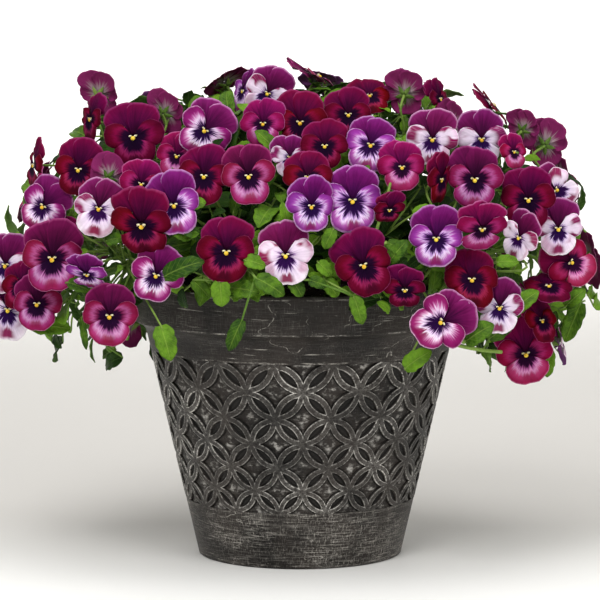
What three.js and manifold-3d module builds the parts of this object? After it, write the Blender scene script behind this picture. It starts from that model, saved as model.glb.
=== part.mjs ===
// Potted pansy planter: a tapered resin pot with a lattice of overlapping circles,
// filled with potting mix, and a round mound of pansies with leafy stems and blooms.
// Millimetres, +Z up, origin at the middle of the pot's foot, front towards -Y.
import * as THREE from 'three';
import { mergeVertices } from 'three/addons/utils/BufferGeometryUtils.js';
import Module from 'manifold-3d';

const wasm = await Module();
wasm.setup();

// Pot sizes
const FOOT_RADIUS = 91;
const WALL_SLOPE = 0.231;
const POT_HEIGHT = 248;
const RIM_RADIUS = 152.5;
const RIM_FOOT_RADIUS = 149.8;
const RIM_FOOT_LEVEL = 213;
const RIM_EDGE = 1.5;
const INNER_STEP_LEVEL = 216;
const COVE_LEVEL = 205;
const COVE_RADIUS = 139.2;
const WALL_THICKNESS = 3.6;
const FLOOR_THICKNESS = 5;
const FOOT_CHAMFER = 2.5;
const POT_SIDES = 40;
const INNER_SIDES = 24;
const DRAIN_RADIUS = 6;
const DRAIN_RING = 52;
const DRAIN_COUNT = 4;
const DRAIN_SIDES = 8;

// Lattice of overlapping circles, from its lowest row of crossings to its highest
const LATTICE_FOOT = 51.5;
const LATTICE_TOP = 186.5;
const LATTICE_ROWS = 6;
const LATTICE_COLUMNS = 32;
const LATTICE_TURN = 0.022;
const LATTICE_DEPTH = 2.4;
const CUSP = 0.336;
const WAIST = 0.254;
const LENS_TIP = 0.166;
const LENS_SIDE = 0.601;

// Potting mix
const MIX_LEVEL = 227;
const MIX_DOME = 7;
const LUMP_PITCH = 8;
const LUMP_RISE = 2.2;
const CLEARANCE = 0.35;
const HOLE_DEPTH = 14;
const HOLE_RADIUS = 2.6;

// Mound of the plants, and the point it is seen from
const MOUND = { across: 272, deep: 200, rise: 178, fall: 105, level: 252, power: 2.6, deepPower: 2 };
const EYE_DISTANCE = 3050;
const EYE_HEIGHT = 571;
const SIGHT_STEP = 2;
const HALVINGS = 24;
const LAYER_REACH = 42;
const LAYER_STEP = 15;
const LAYER_SLOPE = 1.6;

// Stems
const STEM_RADIUS = 1.9;
const STEM_SIDES = 4;
const STEM_STEPS = 4;
const ROOT_SHARE = 0.42;
const RISE_OUT = 0.5;
const RISE_SHARE = 0.75;
const BEND_OUT = 0.8;
const BEND_LIFT = 14;
const STALK_RADIUS = 1.1;
const SHOOT_AIM = 22;
const SHOOT_RADIUS = 1.9;
const SHOOT_FIRST = 4;
const SHOOT_PITCH = 4.5;
const SEATING_STEPS = 3;
const SEATING_REACH = 6;
const STALK_HOOK = 11;
const STALK_LEAN = 0.22;
const STALK_DROP = 36;
const STRAIGHT_BACK = 2.3;
const RIM_CROSSING = 276;
const LEAVES_FROM = 0.5;
const LEAVES_TO = 0.96;
const LEAF_LEVEL = 0.9;
const LEAF_WIDTH = 25;
const LEAF_LENGTH = 66;
const LEAF_SHORTEST = 24;
const LEAF_STEP = 3;
const LEAF_LEAN = 0.45;
const LEAF_FACING = 0.6;
const LEAF_SPREAD = [0.85, 1.15];
const GOLDEN_ANGLE = Math.PI * (3 - Math.sqrt(5));
const DEGREE = Math.PI / 180;

const Z_AXIS = new THREE.Vector3(0, 0, 1);

const POT_COLOUR = 0x3d3a38;
const MIX_COLOUR = 0x2c1f16;
const LEAF_COLOUR = 0x4f8a2c;
const CLARET_COLOUR = 0x7a1238;
const PALE_COLOUR = 0xd9c4e0;

// Leafy stems from the front round to the back: where each ends, how far up it the claret
// and the pale blooms branch off, and which way round it its leaves point, in degrees
const STEMS = [
  { tip: [-62, -138, 288], shoots: [0.86, 0.58], leafTurns: [120, 160, 280] },
  { tip: [48, -142, 284], shoots: [0.86, 0.94], leafTurns: [60, 180, 320] },
  { tip: [-150, -118, 272], shoots: [0.86, 0.94], leafTurns: [100, 240, 240] },
  { tip: [130, -122, 262], shoots: [0.86, 0.54], leafTurns: [160, 280, 80] },
  { tip: [-203, -72, 236], shoots: [0.86, 0.86], leafTurns: [200, 340, 200] },
  { tip: [193, -84, 220], shoots: [0.86, 0.5], leafTurns: [260, 20, 160] },
  { tip: [-226, 24, 262], shoots: [0.86, 0.86], leafTurns: [300, 80, 220] },
  { tip: [226, 12, 256], shoots: [0.86, 0.86], leafTurns: [0, 120, 260] },
  { tip: [-185, -18, 338], shoots: [0.86, 0.86], leafTurns: [40, 180, 320] },
  { tip: [188, -28, 326], shoots: [0.86, 0.86], leafTurns: [100, 220, 0] },
  { tip: [-95, -62, 368], shoots: [0.86, 0.86], leafTurns: [140, 280, 60] },
  { tip: [2, -64, 372], shoots: [1, 0.86], leafTurns: [200, 320, 140] },
  { tip: [102, -60, 364], shoots: [0.86, 0.86], leafTurns: [240, 20, 160] },
  { tip: [-70, 62, 374], shoots: [0.86, 0.86], leafTurns: [300, 100, 200] },
  { tip: [78, 60, 368], shoots: [0.86, 0.86], leafTurns: [340, 120, 260] },
  { tip: [-145, 112, 290], shoots: [0.86, 0.94], leafTurns: [40, 180, 20] },
  { tip: [0, 142, 300], shoots: [0.86, 0.86], leafTurns: [80, 220, 0] },
  { tip: [148, 108, 286], shoots: [0.86, 0.86], leafTurns: [140, 260, 40] },
];

// Blooms that face the front: kind, across and up where the line of sight to the eye of the
// bloom meets the upright plane through the pot's axis, turn to the right, tilt up, roll
// clockwise in degrees, size, and how far it stands forward of the mound
const FRONT_BLOOMS = [
  ['claret', -149, 374, -5, 10, -5, 1.08, 0],
  ['claret', -198, 345, -10, 5, 5, 0.92, 0],
  ['picotee', -230, 312, -15, 5, 35, 0.92, 0],
  ['white', -180, 310, -5, 10, 9, 0.92, 0],
  ['dusky', -178, 413, 160, 15, 0, 0.8, 0],
  ['claret', -187, 390, -60, 5, 0, 0.8, 0],
  ['claret', -238, 349, -70, 0, 0, 0.8, 0],
  ['rose', -142, 332, 8, 10, 10, 0.78, 0],
  ['claret', -169, 338, 155, 0, 0, 0.75, -12],
  ['claret', -119, 396, 150, 10, 0, 0.75, 0],
  ['picotee', -85, 380, 5, 10, 37, 0.98, 0],
  ['violet', -51, 415, -60, 10, 0, 0.72, -12],
  ['white', -29, 413, 0, 5, 26, 0.84, 0],
  ['rose', -33, 386, -10, 15, 0, 0.82, 0],
  ['claret', 0, 387, 0, 10, 0, 0.96, 0],
  ['claret', -86, 339, 0, 10, 5, 0.92, 0],
  ['dusky', -46, 339, 0, 10, -5, 0.98, 0],
  ['rose', -110, 357, -10, 15, 10, 0.78, -20],
  ['white', -9, 356, 10, 15, 0, 0.72, -8],
  ['violet', -113, 313, 5, 5, -8, 0.98, 5],
  ['claret', 43, 394, 5, 15, 0, 0.86, 0],
  ['claret', 62, 411, 10, 40, 0, 0.78, -8],
  ['dusky', 94, 413, 165, 10, 0, 0.8, 0],
  ['claret', 125, 408, 60, 10, 0, 0.68, 0],
  ['violet', 63, 367, 0, 15, 10, 0.92, 0],
  ['claret', 22, 366, 0, 15, 0, 0.84, 0],
  ['rose', 91, 347, 5, 15, 0, 0.84, 0],
  ['white', 118, 372, 0, 5, 5, 0.94, 0],
  ['claret', 137, 385, 130, 0, 0, 0.75, -20],
  ['claret', 126, 336, 60, -10, 0, 0.82, 0],
  ['violet', 47, 317, 0, 5, 0, 1.04, 0],
  ['violet', 10, 312, 18, 5, 5, 0.88, 8],
  ['claret', 7, 338, 0, 20, 0, 0.88, 2],
  ['claret', 80, 309, 20, -40, 0, 0.6, 6],
  ['white', 162, 372, 5, 10, 0, 0.9, 0],
  ['rose', 191, 361, 30, 10, 0, 0.58, 13],
  ['claret', 200, 381, 150, 10, 0, 0.66, 0],
  ['dusky', 219, 368, 170, 10, 0, 0.82, 0],
  ['dusky', 156, 336, 5, 10, 0, 1.02, 0],
  ['claret', 204, 318, 5, 5, 0, 1.0, 4],
  ['white', 229, 327, 15, 5, -62, 0.84, 0],
  ['white', 231, 292, 10, 5, 0, 0.94, 0],
  ['rose', 243, 262, 15, 5, -50, 0.92, 8],
  ['violet', 122, 283, -5, 5, 0, 0.94, 0],
  ['rose', 163, 292, 10, -40, 0, 0.9, 21],
  ['white', 196, 284, -40, 0, 20, 0.78, 2],
  ['claret', 57, 259, 0, 0, -18, 1.16, 3],
  ['claret', 94, 237, 0, -35, 0, 0.76, 0],
  ['picotee', 127, 208, 0, 0, 60, 1.02, 8],
  ['white', 179, 221, 0, 0, 0, 0.88, 4],
  ['claret', 154, 246, 5, 20, 0, 0.98, -6],
  ['claret', 203, 179, 0, 0, -10, 1.06, 0],
  ['claret', 223, 240, 10, 60, 0, 0.9, 0],
  ['claret', 217, 209, 40, 20, 0, 0.78, -6],
  ['claret', -66, 271, 0, 5, 3, 1.16, 0],
  ['white', -13, 268, 0, 5, -4, 1.0, 0],
  ['dusky', -222, 265, -10, 5, 0, 1.14, 0],
  ['picotee', -129, 250, -5, 0, 18, 0.94, 0],
  ['dusky', -171, 213, -5, 10, 0, 1.0, 9],
  ['white', -264, 259, -20, 5, 0, 0.98, 0],
  ['white', -262, 219, -20, 0, 0, 1.02, 0],
  ['dusky', -236, 224, -10, 15, 0, 0.94, -8],
  ['claret', -250, 240, -20, 20, 0, 0.86, -10],
  ['violet', -191, 251, -20, -50, 0, 0.78, 4],
  ['claret', -142, 295, -10, -25, 0, 1.12, 15],
  ['claret', -213, 285, -20, 10, 0, 0.62, -26],
];
const PALE_KINDS = ['white', 'picotee', 'violet'];

// Blooms that are placed by rule, over the back and the crown
const RULE_POINTS = 150;
const RULE_SPACING = 66;
const RULE_LOWEST = -0.3;
const RULE_FRONT = -10;
const RULE_SEED = 41;
const RULE_KINDS = ['claret', 'claret', 'claret', 'rose', 'dusky', 'white', 'violet', 'picotee'];
const RULE_REACH = [0.93, 1];
const RULE_SWAY = [-20, 20];
const RULE_ROLL = [-30, 30];
const RULE_SIZE = [0.82, 1.12];
const RULE_TILT = [8, 50];

// Leaves that show in front: across and up of the leaf's foot and tip, on the plane
// through the pot's axis, width, and how far they stand forward of the mound
const FRONT_LEAVES = [
  [-122, 249, -86, 263, 19, 20],
  [-40, 248, -14, 232, 18, 6],
  [-134, 214, -118, 176, 19, 20],
  [-52, 210, -64, 182, 14, 8],
  [-268, 282, -238, 272, 14, 0],
  [-241, 205, -206, 202, 20, 0],
  [-196, 212, -192, 183, 7, 0],
  [48, 232, 56, 206, 14, 0],
  [94, 166, 118, 182, 18, 6],
  [148, 190, 174, 206, 20, 10],
  [190, 218, 214, 236, 17, 4],
  [220, 192, 230, 218, 12, -10],
  [252, 226, 238, 190, 18, 2],
  [224, 184, 222, 158, 13, 2],
  [78, 280, 96, 268, 13, 0],
  [-114, 294, -98, 282, 15, -4],
  [-72, 246, -70, 222, 18, 0],
];
const TIP_LIFT = 0.3;
const FRONT_STARTS = Array.from({ length: 21 }, (_, k) => 0.4 + 0.03 * k);
const LEAF_OUTLINE = [
  [0.26, 0.48],
  [0.46, 0.42],
  [0.69, 0.44],
];
const LEAF_THICKNESS = 0.5;
const LEAF_MIDDLE = 0.44;
const PETIOLE_RADIUS = 0.9;
const PETIOLE_SHARE = 0.3;
const LEAF_ARCH = 0.1;
const LEAF_FOLD = 0.12;

// One bloom at size 1, seen from its face: the low points between petals and the outer
// points of each petal, clockwise from the top, as angle, radius and height
const PETAL_SEAMS = [
  [0, 12, -3],
  [58, 11, -1.6],
  [120, 9, 0],
  [240, 9, 0],
  [302, 11, -1.6],
];
const PETALS = [
  { middle: [27, 20, -3.2], rim: [[-7, 28, -4], [18, 33, -5], [48, 31, -5.4]] },
  { middle: [86, 16, -0.4], rim: [[51, 22, -1], [83, 26.5, -0.6], [111, 21, -1.2]] },
  { middle: [180, 15, 2], rim: [[106, 20.5, 1.4], [155, 27, 2], [205, 27, 2], [254, 20.5, 1.4]] },
  { middle: [274, 16, -0.4], rim: [[249, 21, -1.2], [277, 26.5, -0.6], [309, 22, -1]] },
  { middle: [333, 20, -4.8], rim: [[312, 31, -7.4], [342, 33, -7.4], [7, 28, -6.8]] },
];
const PETAL_THICKNESS = 0.8;
const EYE_LIFT = 1.2;
const CALYX_BACK = 7;
const CALYX_RADIUS = 2;

// Repeatable draws between 0 and 1
function seededDraws(seed) {
  let state = seed >>> 0;
  return () => {
    state = (state + 0x6d2b79f5) >>> 0;
    let mixed = Math.imul(state ^ (state >>> 15), state | 1);
    mixed = (mixed + Math.imul(mixed ^ (mixed >>> 7), mixed | 61)) ^ mixed;
    return ((mixed ^ (mixed >>> 14)) >>> 0) / 4294967296;
  };
}

// The value at a share of the way between two limits
const between = ([low, high], share) => low + (high - low) * share;

// Points and triangles of one closed body, with equal points shared
class Skin {
  constructor() {
    this.points = [];
    this.faces = [];
    this.seen = new Map();
  }

  point(x, y, z) {
    const key = [x, y, z].map((value) => value.toFixed(4)).join(' ');
    if (!this.seen.has(key)) {
      this.seen.set(key, this.points.length);
      this.points.push([x, y, z]);
    }
    return this.seen.get(key);
  }

  at(vector) {
    return this.point(vector.x, vector.y, vector.z);
  }

  face(a, b, c) {
    if (a !== b && b !== c && a !== c) this.faces.push([a, b, c]);
  }

  // Triangles between two rings that run the same way round, each with its own angles
  stitch(lower, lowerAngles, upper, upperAngles) {
    let i = 0;
    let j = 0;
    const turn = 2 * Math.PI;
    const angleAt = (angles, k) => angles[k % angles.length] + turn * Math.floor(k / angles.length);
    while (i < lower.length || j < upper.length) {
      const nextLower = i < lower.length ? angleAt(lowerAngles, i + 1) : Infinity;
      const nextUpper = j < upper.length ? angleAt(upperAngles, j + 1) : Infinity;
      const a = lower[i % lower.length];
      const b = upper[j % upper.length];
      if (nextLower <= nextUpper) {
        this.face(a, lower[(i + 1) % lower.length], b);
        i += 1;
      } else {
        this.face(a, upper[(j + 1) % upper.length], b);
        j += 1;
      }
    }
  }

  toSolid() {
    const mesh = new wasm.Mesh({
      numProp: 3,
      vertProperties: new Float32Array(this.points.flat()),
      triVerts: new Uint32Array(this.faces.flat()),
    });
    return new wasm.Manifold(mesh);
  }
}

function solidFrom(geometry) {
  const bare = geometry.clone();
  bare.deleteAttribute('normal');
  bare.deleteAttribute('uv');
  const merged = mergeVertices(bare, 1e-3);
  const mesh = new wasm.Mesh({
    numProp: 3,
    vertProperties: new Float32Array(merged.attributes.position.array),
    triVerts: new Uint32Array(merged.index.array),
  });
  return new wasm.Manifold(mesh);
}

function geometryFrom(solid) {
  const { vertProperties, triVerts } = solid.getMesh();
  const geometry = new THREE.BufferGeometry();
  geometry.setAttribute('position', new THREE.BufferAttribute(new Float32Array(vertProperties), 3));
  geometry.setIndex(new THREE.BufferAttribute(new Uint32Array(triVerts), 1));
  geometry.computeVertexNormals();
  return geometry;
}

function fused(solids) {
  return wasm.Manifold.union(solids);
}

// Radius of the pot's outer wall at a level
const wallRadius = (level) => FOOT_RADIUS + WALL_SLOPE * level;

// Pot: plain bands above and below the lattice, a cove under the rim, a thin wall and floor
function potPoint(skin, radius, angle, level) {
  return skin.point(radius * Math.sin(angle), -radius * Math.cos(angle), level);
}

function potRing(skin, radius, level, sides) {
  const angles = Array.from({ length: sides }, (_, k) => LATTICE_TURN + (2 * Math.PI * k) / sides);
  return { ids: angles.map((angle) => potPoint(skin, radius, angle, level)), angles };
}

// A lattice point by column and row, the rows growing with the pot's radius
function latticePoint(skin, column, row, depth = 0) {
  const growth = Math.log(wallRadius(LATTICE_TOP) / wallRadius(LATTICE_FOOT)) / LATTICE_ROWS;
  const radius = wallRadius(LATTICE_FOOT) * Math.exp(growth * row);
  const level = (radius - FOOT_RADIUS) / WALL_SLOPE;
  const angle = LATTICE_TURN + (2 * Math.PI * column) / LATTICE_COLUMNS;
  return potPoint(skin, radius - depth, angle, level);
}

const isCrossing = (column, row) => (column + row) % 2 === 1;

// One cell: a lens-shaped pocket between two crossings, and a quarter of the pocket in
// each of the two circle middles
function addLatticeCell(skin, column, row) {
  const mirrored = !isCrossing(column, row);
  const at = (a, b, depth) => latticePoint(skin, mirrored ? column + 1 - a : column + a, row + b, depth);
  const face = (a, b, c) => (mirrored ? skin.face(a, c, b) : skin.face(a, b, c));
  const pocket = at(0.5, 0.5, LATTICE_DEPTH);
  for (const swap of [false, true]) {
    const side = (a, b, depth) => (swap ? at(b, a, depth) : at(a, b, depth));
    const half = (a, b, c) => (swap ? face(a, c, b) : face(a, b, c));
    const start = side(0, 0);
    const startCusp = side(CUSP, 0);
    const waist = side(1 - WAIST, WAIST);
    const endCusp = side(1, 1 - CUSP);
    const end = side(1, 1);
    const startTip = side(LENS_TIP, LENS_TIP);
    const lens = side(LENS_SIDE, 1 - LENS_SIDE);
    const endTip = side(1 - LENS_TIP, 1 - LENS_TIP);
    const middle = side(1, 0, LATTICE_DEPTH);
    half(start, startCusp, startTip);
    half(startCusp, lens, startTip);
    half(startCusp, waist, lens);
    half(waist, endCusp, lens);
    half(endCusp, endTip, lens);
    half(endCusp, end, endTip);
    half(startTip, lens, pocket);
    half(lens, endTip, pocket);
    half(startCusp, middle, waist);
    half(middle, endCusp, waist);
  }
}

// The edge between the lattice and a plain band, with a wall at each cut circle middle
function latticeEdge(skin, row) {
  const ids = [];
  const angles = [];
  const top = row > 0;
  for (let column = 0; column < LATTICE_COLUMNS; column += 1) {
    const places = isCrossing(column, row) ? [0, CUSP] : [0, 1 - CUSP];
    for (const place of places) {
      ids.push(latticePoint(skin, column + place, row));
      angles.push(LATTICE_TURN + (2 * Math.PI * (column + place)) / LATTICE_COLUMNS);
    }
    if (!isCrossing(column, row)) {
      const deep = latticePoint(skin, column, row, LATTICE_DEPTH);
      const flush = latticePoint(skin, column, row);
      const before = latticePoint(skin, column - 1 + CUSP, row);
      const after = latticePoint(skin, column + 1 - CUSP, row);
      if (top) {
        skin.face(before, deep, flush);
        skin.face(deep, after, flush);
      } else {
        skin.face(deep, before, flush);
        skin.face(after, deep, flush);
      }
    }
  }
  return { ids, angles };
}

function makePot() {
  const skin = new Skin();
  const join = (a, b) => skin.stitch(a.ids, a.angles, b.ids, b.angles);
  const centre = (level) => ({ ids: [skin.point(0, 0, level)], angles: [LATTICE_TURN] });
  const outer = [
    potRing(skin, FOOT_RADIUS - FOOT_CHAMFER, 0, INNER_SIDES),
    potRing(skin, wallRadius(FOOT_CHAMFER), FOOT_CHAMFER, POT_SIDES),
    latticeEdge(skin, 0),
  ];
  const above = [
    latticeEdge(skin, LATTICE_ROWS),
    potRing(skin, COVE_RADIUS, COVE_LEVEL, POT_SIDES),
    potRing(skin, RIM_FOOT_RADIUS, RIM_FOOT_LEVEL, POT_SIDES),
    potRing(skin, RIM_RADIUS, POT_HEIGHT - RIM_EDGE, POT_SIDES),
    potRing(skin, RIM_RADIUS - RIM_EDGE, POT_HEIGHT, POT_SIDES),
    potRing(skin, RIM_RADIUS - WALL_THICKNESS, POT_HEIGHT, INNER_SIDES),
    potRing(skin, RIM_FOOT_RADIUS - WALL_THICKNESS, INNER_STEP_LEVEL, INNER_SIDES),
    potRing(skin, COVE_RADIUS - WALL_THICKNESS, COVE_LEVEL, INNER_SIDES),
    potRing(skin, wallRadius(FLOOR_THICKNESS) - WALL_THICKNESS, FLOOR_THICKNESS, INNER_SIDES),
  ];
  const floor = centre(FLOOR_THICKNESS);
  const foot = centre(0);
  join(foot, outer[0]);
  for (const rings of [outer, above]) {
    for (let k = 0; k + 1 < rings.length; k += 1) join(rings[k], rings[k + 1]);
  }
  join(above[above.length - 1], floor);
  for (let row = 0; row < LATTICE_ROWS; row += 1) {
    for (let column = 0; column < LATTICE_COLUMNS; column += 1) addLatticeCell(skin, column, row);
  }
  return skin.toSolid().subtract(fused(drainHoles()));
}

function drainHoles() {
  return Array.from({ length: DRAIN_COUNT }, (_, k) => {
    const angle = ((k + 0.5) * 2 * Math.PI) / DRAIN_COUNT;
    const hole = new THREE.CylinderGeometry(DRAIN_RADIUS, DRAIN_RADIUS, FLOOR_THICKNESS * 3, DRAIN_SIDES);
    hole.rotateX(Math.PI / 2);
    hole.translate(DRAIN_RING * Math.cos(angle), DRAIN_RING * Math.sin(angle), 0);
    return solidFrom(hole);
  });
}

// Potting mix: fills the pot inside its wall, lumpy on top, with a plain hole for each stem
function makePottingMix() {
  const inset = WALL_THICKNESS + CLEARANCE;
  const profile = [
    [0, FLOOR_THICKNESS + CLEARANCE],
    [wallRadius(FLOOR_THICKNESS) - inset, FLOOR_THICKNESS + CLEARANCE],
    [COVE_RADIUS - inset, COVE_LEVEL],
    [RIM_FOOT_RADIUS - inset, INNER_STEP_LEVEL + CLEARANCE],
    [RIM_FOOT_RADIUS - inset + CLEARANCE, MIX_LEVEL],
    [RIM_RADIUS * 0.7, MIX_LEVEL + MIX_DOME * 0.5],
    [RIM_RADIUS * 0.38, MIX_LEVEL + MIX_DOME * 0.9],
    [0, MIX_LEVEL + MIX_DOME],
  ];
  const points = profile.map(([radius, level]) => new THREE.Vector2(radius, level));
  const body = new THREE.LatheGeometry(points, INNER_SIDES);
  body.rotateX(Math.PI / 2);
  body.rotateZ(LATTICE_TURN - Math.PI / 2);
  const place = body.attributes.position;
  for (let k = 0; k < place.count; k += 1) {
    const radius = Math.hypot(place.getX(k), place.getY(k));
    if (place.getZ(k) > MIX_LEVEL + 1 && radius > 1) {
      const lump = Math.sin(place.getX(k) / LUMP_PITCH) * Math.cos(place.getY(k) / LUMP_PITCH) * LUMP_RISE;
      place.setZ(k, place.getZ(k) + lump);
    }
  }
  const holes = STEMS.map(({ tip }) => {
    const path = stemPath(new THREE.Vector3(...tip), HOLE_DEPTH + CLEARANCE);
    return tube(path, HOLE_RADIUS, STEM_SIDES, STEM_STEPS);
  });
  return solidFrom(body).subtract(fused(holes));
}

// The point at a depth on the line of sight that meets the axis plane at across and up
function onSight(across, up, depth) {
  const share = (EYE_DISTANCE + depth) / EYE_DISTANCE;
  return new THREE.Vector3(across * share, depth, EYE_HEIGHT + (up - EYE_HEIGHT) * share);
}

// Below 1 inside the mound, above 1 outside
function moundLevel(point) {
  const height = point.z - MOUND.level;
  const reach = height > 0 ? MOUND.rise : MOUND.fall;
  return Math.abs(point.x / MOUND.across) ** MOUND.power
    + Math.abs(point.y / MOUND.deep) ** MOUND.deepPower
    + Math.abs(height / reach) ** MOUND.power;
}

// Depth at which a line of sight first meets the mound, or passes nearest to it
function moundDepth(across, up) {
  let nearest = -MOUND.deep;
  let lowest = Infinity;
  for (let depth = -MOUND.deep; depth <= MOUND.deep; depth += SIGHT_STEP) {
    const level = moundLevel(onSight(across, up, depth));
    if (level <= 1) return depth;
    if (level < lowest) {
      lowest = level;
      nearest = depth;
    }
  }
  return nearest;
}

// The point where a ray from the middle of the mound meets its surface, times a share
function onMound(ray, share) {
  const middle = new THREE.Vector3(0, 0, MOUND.level);
  let near = 0;
  let far = MOUND.across * 1.5;
  for (let k = 0; k < HALVINGS; k += 1) {
    const half = (near + far) / 2;
    if (moundLevel(middle.clone().addScaledVector(ray, half)) < 1) near = half;
    else far = half;
  }
  return middle.addScaledVector(ray, near * share);
}

// A bloom's place and its own right, up and outward directions
function makeBloom(kind, eye, turn, tilt, roll, size) {
  const level = Math.cos(tilt * DEGREE);
  const out = new THREE.Vector3(
    Math.sin(turn * DEGREE) * level,
    -Math.cos(turn * DEGREE) * level,
    Math.sin(tilt * DEGREE),
  );
  const right = Z_AXIS.clone().cross(out).normalize();
  const up = out.clone().cross(right);
  const cosine = Math.cos(roll * DEGREE);
  const sine = Math.sin(roll * DEGREE);
  const rolledUp = up.clone().multiplyScalar(cosine).addScaledVector(right, sine);
  const rolledRight = right.clone().multiplyScalar(cosine).addScaledVector(up, -sine);
  return { kind, eye, out, up: rolledUp, right: rolledRight, size };
}

// Front blooms, each set far enough before the ones behind it that they do not cross
function frontBlooms() {
  const rows = FRONT_BLOOMS.map(([kind, across, up, turn, tilt, roll, size, lift]) => (
    { kind, across, up, turn, tilt, roll, size, depth: moundDepth(across, up) - lift }
  ));
  rows.sort((a, b) => b.depth - a.depth);
  rows.forEach((row, k) => {
    for (const other of rows.slice(0, k)) {
      const apart = Math.hypot(row.across - other.across, row.up - other.up);
      const reach = (LAYER_REACH * (row.size + other.size)) / 2;
      if (apart < reach) {
        const clear = other.depth - LAYER_STEP * Math.min(1, LAYER_SLOPE * (1 - apart / reach));
        row.depth = Math.min(row.depth, clear);
      }
    }
  });
  return rows.map(({ kind, across, up, turn, tilt, roll, size, depth }) => (
    makeBloom(kind, onSight(across, up, depth), turn, tilt, roll, size)
  ));
}

// Blooms over the crown and the back: even points on the mound, less those too near another
function ruleBlooms(placed) {
  const draw = seededDraws(RULE_SEED);
  const blooms = [];
  for (let k = 0; k < RULE_POINTS; k += 1) {
    const high = 1 - ((k + 0.5) / RULE_POINTS) * (1 - RULE_LOWEST);
    const angle = k * GOLDEN_ANGLE;
    const flat = Math.sqrt(1 - high * high);
    const ray = new THREE.Vector3(Math.cos(angle) * flat, Math.sin(angle) * flat, high);
    const eye = onMound(ray, between(RULE_REACH, draw()));
    const kind = RULE_KINDS[Math.floor(draw() * RULE_KINDS.length)];
    const sway = between(RULE_SWAY, draw());
    const roll = between(RULE_ROLL, draw());
    const size = between(RULE_SIZE, draw());
    const turn = Math.atan2(ray.x, -ray.y) / DEGREE + sway;
    const tilt = between(RULE_TILT, Math.max(0, high));
    const taken = [...placed, ...blooms].some((bloom) => bloom.eye.distanceTo(eye) < RULE_SPACING);
    if (eye.y > RULE_FRONT && !taken) blooms.push(makeBloom(kind, eye, turn, tilt, roll, size));
  }
  return blooms;
}

// One bloom with its stalk in one closed body: petals in their layers round a yellow eye
function bloomSolid(bloom, stalk, grow = 0) {
  const skin = new Skin();
  const { eye, out, up, right, size } = bloom;
  const place = ([angle, radius, height], lift) => {
    const reach = (radius + grow) * size;
    const turn = angle * DEGREE;
    const point = eye.clone().addScaledVector(right, Math.sin(turn) * reach);
    point.addScaledVector(up, Math.cos(turn) * reach).addScaledVector(out, height * size + lift);
    return skin.at(point);
  };
  const half = PETAL_THICKNESS + grow;
  const front = place([0, 0, EYE_LIFT], grow);
  const seams = PETAL_SEAMS.map((seam) => place(seam, 0));
  const ring = [];
  PETALS.forEach(({ middle, rim }, k) => {
    const above = place(middle, half);
    const below = place(middle, -half);
    const edge = [seams[k], ...rim.map((corner) => place(corner, 0)), seams[(k + 1) % 5]];
    for (let j = 0; j + 1 < edge.length; j += 1) {
      skin.face(above, edge[j + 1], edge[j]);
      skin.face(below, edge[j], edge[j + 1]);
    }
    skin.face(front, edge[edge.length - 1], above);
    skin.face(front, above, edge[0]);
    ring.push(edge[0], below);
  });
  addStalk(skin, ring, bloom, stalk, grow);
  return skin.toSolid();
}

// The three-sided stalk that grows out of the back of a bloom along its path
function addStalk(skin, ring, bloom, stalk, grow) {
  const ringAngles = PETALS.flatMap(({ middle }, k) => [PETAL_SEAMS[k][0], middle[0]])
    .map((angle) => angle * DEGREE);
  const stalkAngles = [20, 140, 260].map((angle) => angle * DEGREE);
  const rings = stalk.map((point, k) => {
    const radius = (k === 0 ? CALYX_RADIUS : STALK_RADIUS) + grow;
    const along = stalkDirection(bloom, stalk, k);
    const side = bloom.up.clone().addScaledVector(along, -bloom.up.dot(along)).normalize();
    const across = side.clone().cross(along);
    return stalkAngles.map((angle) => skin.at(
      point.clone().addScaledVector(side, Math.cos(angle) * radius)
        .addScaledVector(across, -Math.sin(angle) * radius),
    ));
  });
  skin.stitch(ring, ringAngles, rings[0], stalkAngles);
  for (let k = 0; k + 1 < rings.length; k += 1) {
    skin.stitch(rings[k], stalkAngles, rings[k + 1], stalkAngles);
  }
  skin.face(...rings[rings.length - 1]);
}

// Direction in which a stalk leaves its bloom, at one of its points
function stalkDirection(bloom, stalk, k) {
  if (k === 0) return bloom.out.clone().negate();
  const before = stalk[k - 1];
  const after = stalk[Math.min(k + 1, stalk.length - 1)];
  return after.clone().sub(before).normalize();
}

// A stem rises out of a hole in the mix, arches out under the mound's surface to its tip
function stemPath(tip, depth) {
  const { x, y, z } = tip;
  const root = new THREE.Vector3(x * ROOT_SHARE, y * ROOT_SHARE, MIX_LEVEL - depth);
  const shoulder = Math.max(z, RIM_CROSSING);
  const riseLevel = MIX_LEVEL + RISE_SHARE * (shoulder - MIX_LEVEL);
  const rise = new THREE.Vector3(x * RISE_OUT, y * RISE_OUT, riseLevel);
  const bend = new THREE.Vector3(x * BEND_OUT, y * BEND_OUT, shoulder + BEND_LIFT);
  return new THREE.CubicBezierCurve3(root, rise, bend, tip);
}

function leafyStems() {
  return STEMS.map(({ tip, shoots, leafTurns }) => {
    const end = new THREE.Vector3(...tip);
    return { tip: end, path: stemPath(end, HOLE_DEPTH), shoots, leafTurns };
  });
}

// A tube of a few sides along a curve
function tube(path, radius, sides, steps) {
  const corners = Array.from({ length: sides }, (_, k) => {
    const angle = (2 * Math.PI * k) / sides;
    return new THREE.Vector2(Math.cos(angle) * radius, Math.sin(angle) * radius);
  });
  const options = { steps, extrudePath: path, bevelEnabled: false };
  return solidFrom(new THREE.ExtrudeGeometry(new THREE.Shape(corners), options));
}

// The stem whose tip is nearest to a point
function nearestStem(stems, point) {
  const gaps = stems.map(({ tip }) => tip.distanceTo(point));
  return gaps.indexOf(Math.min(...gaps));
}

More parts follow.
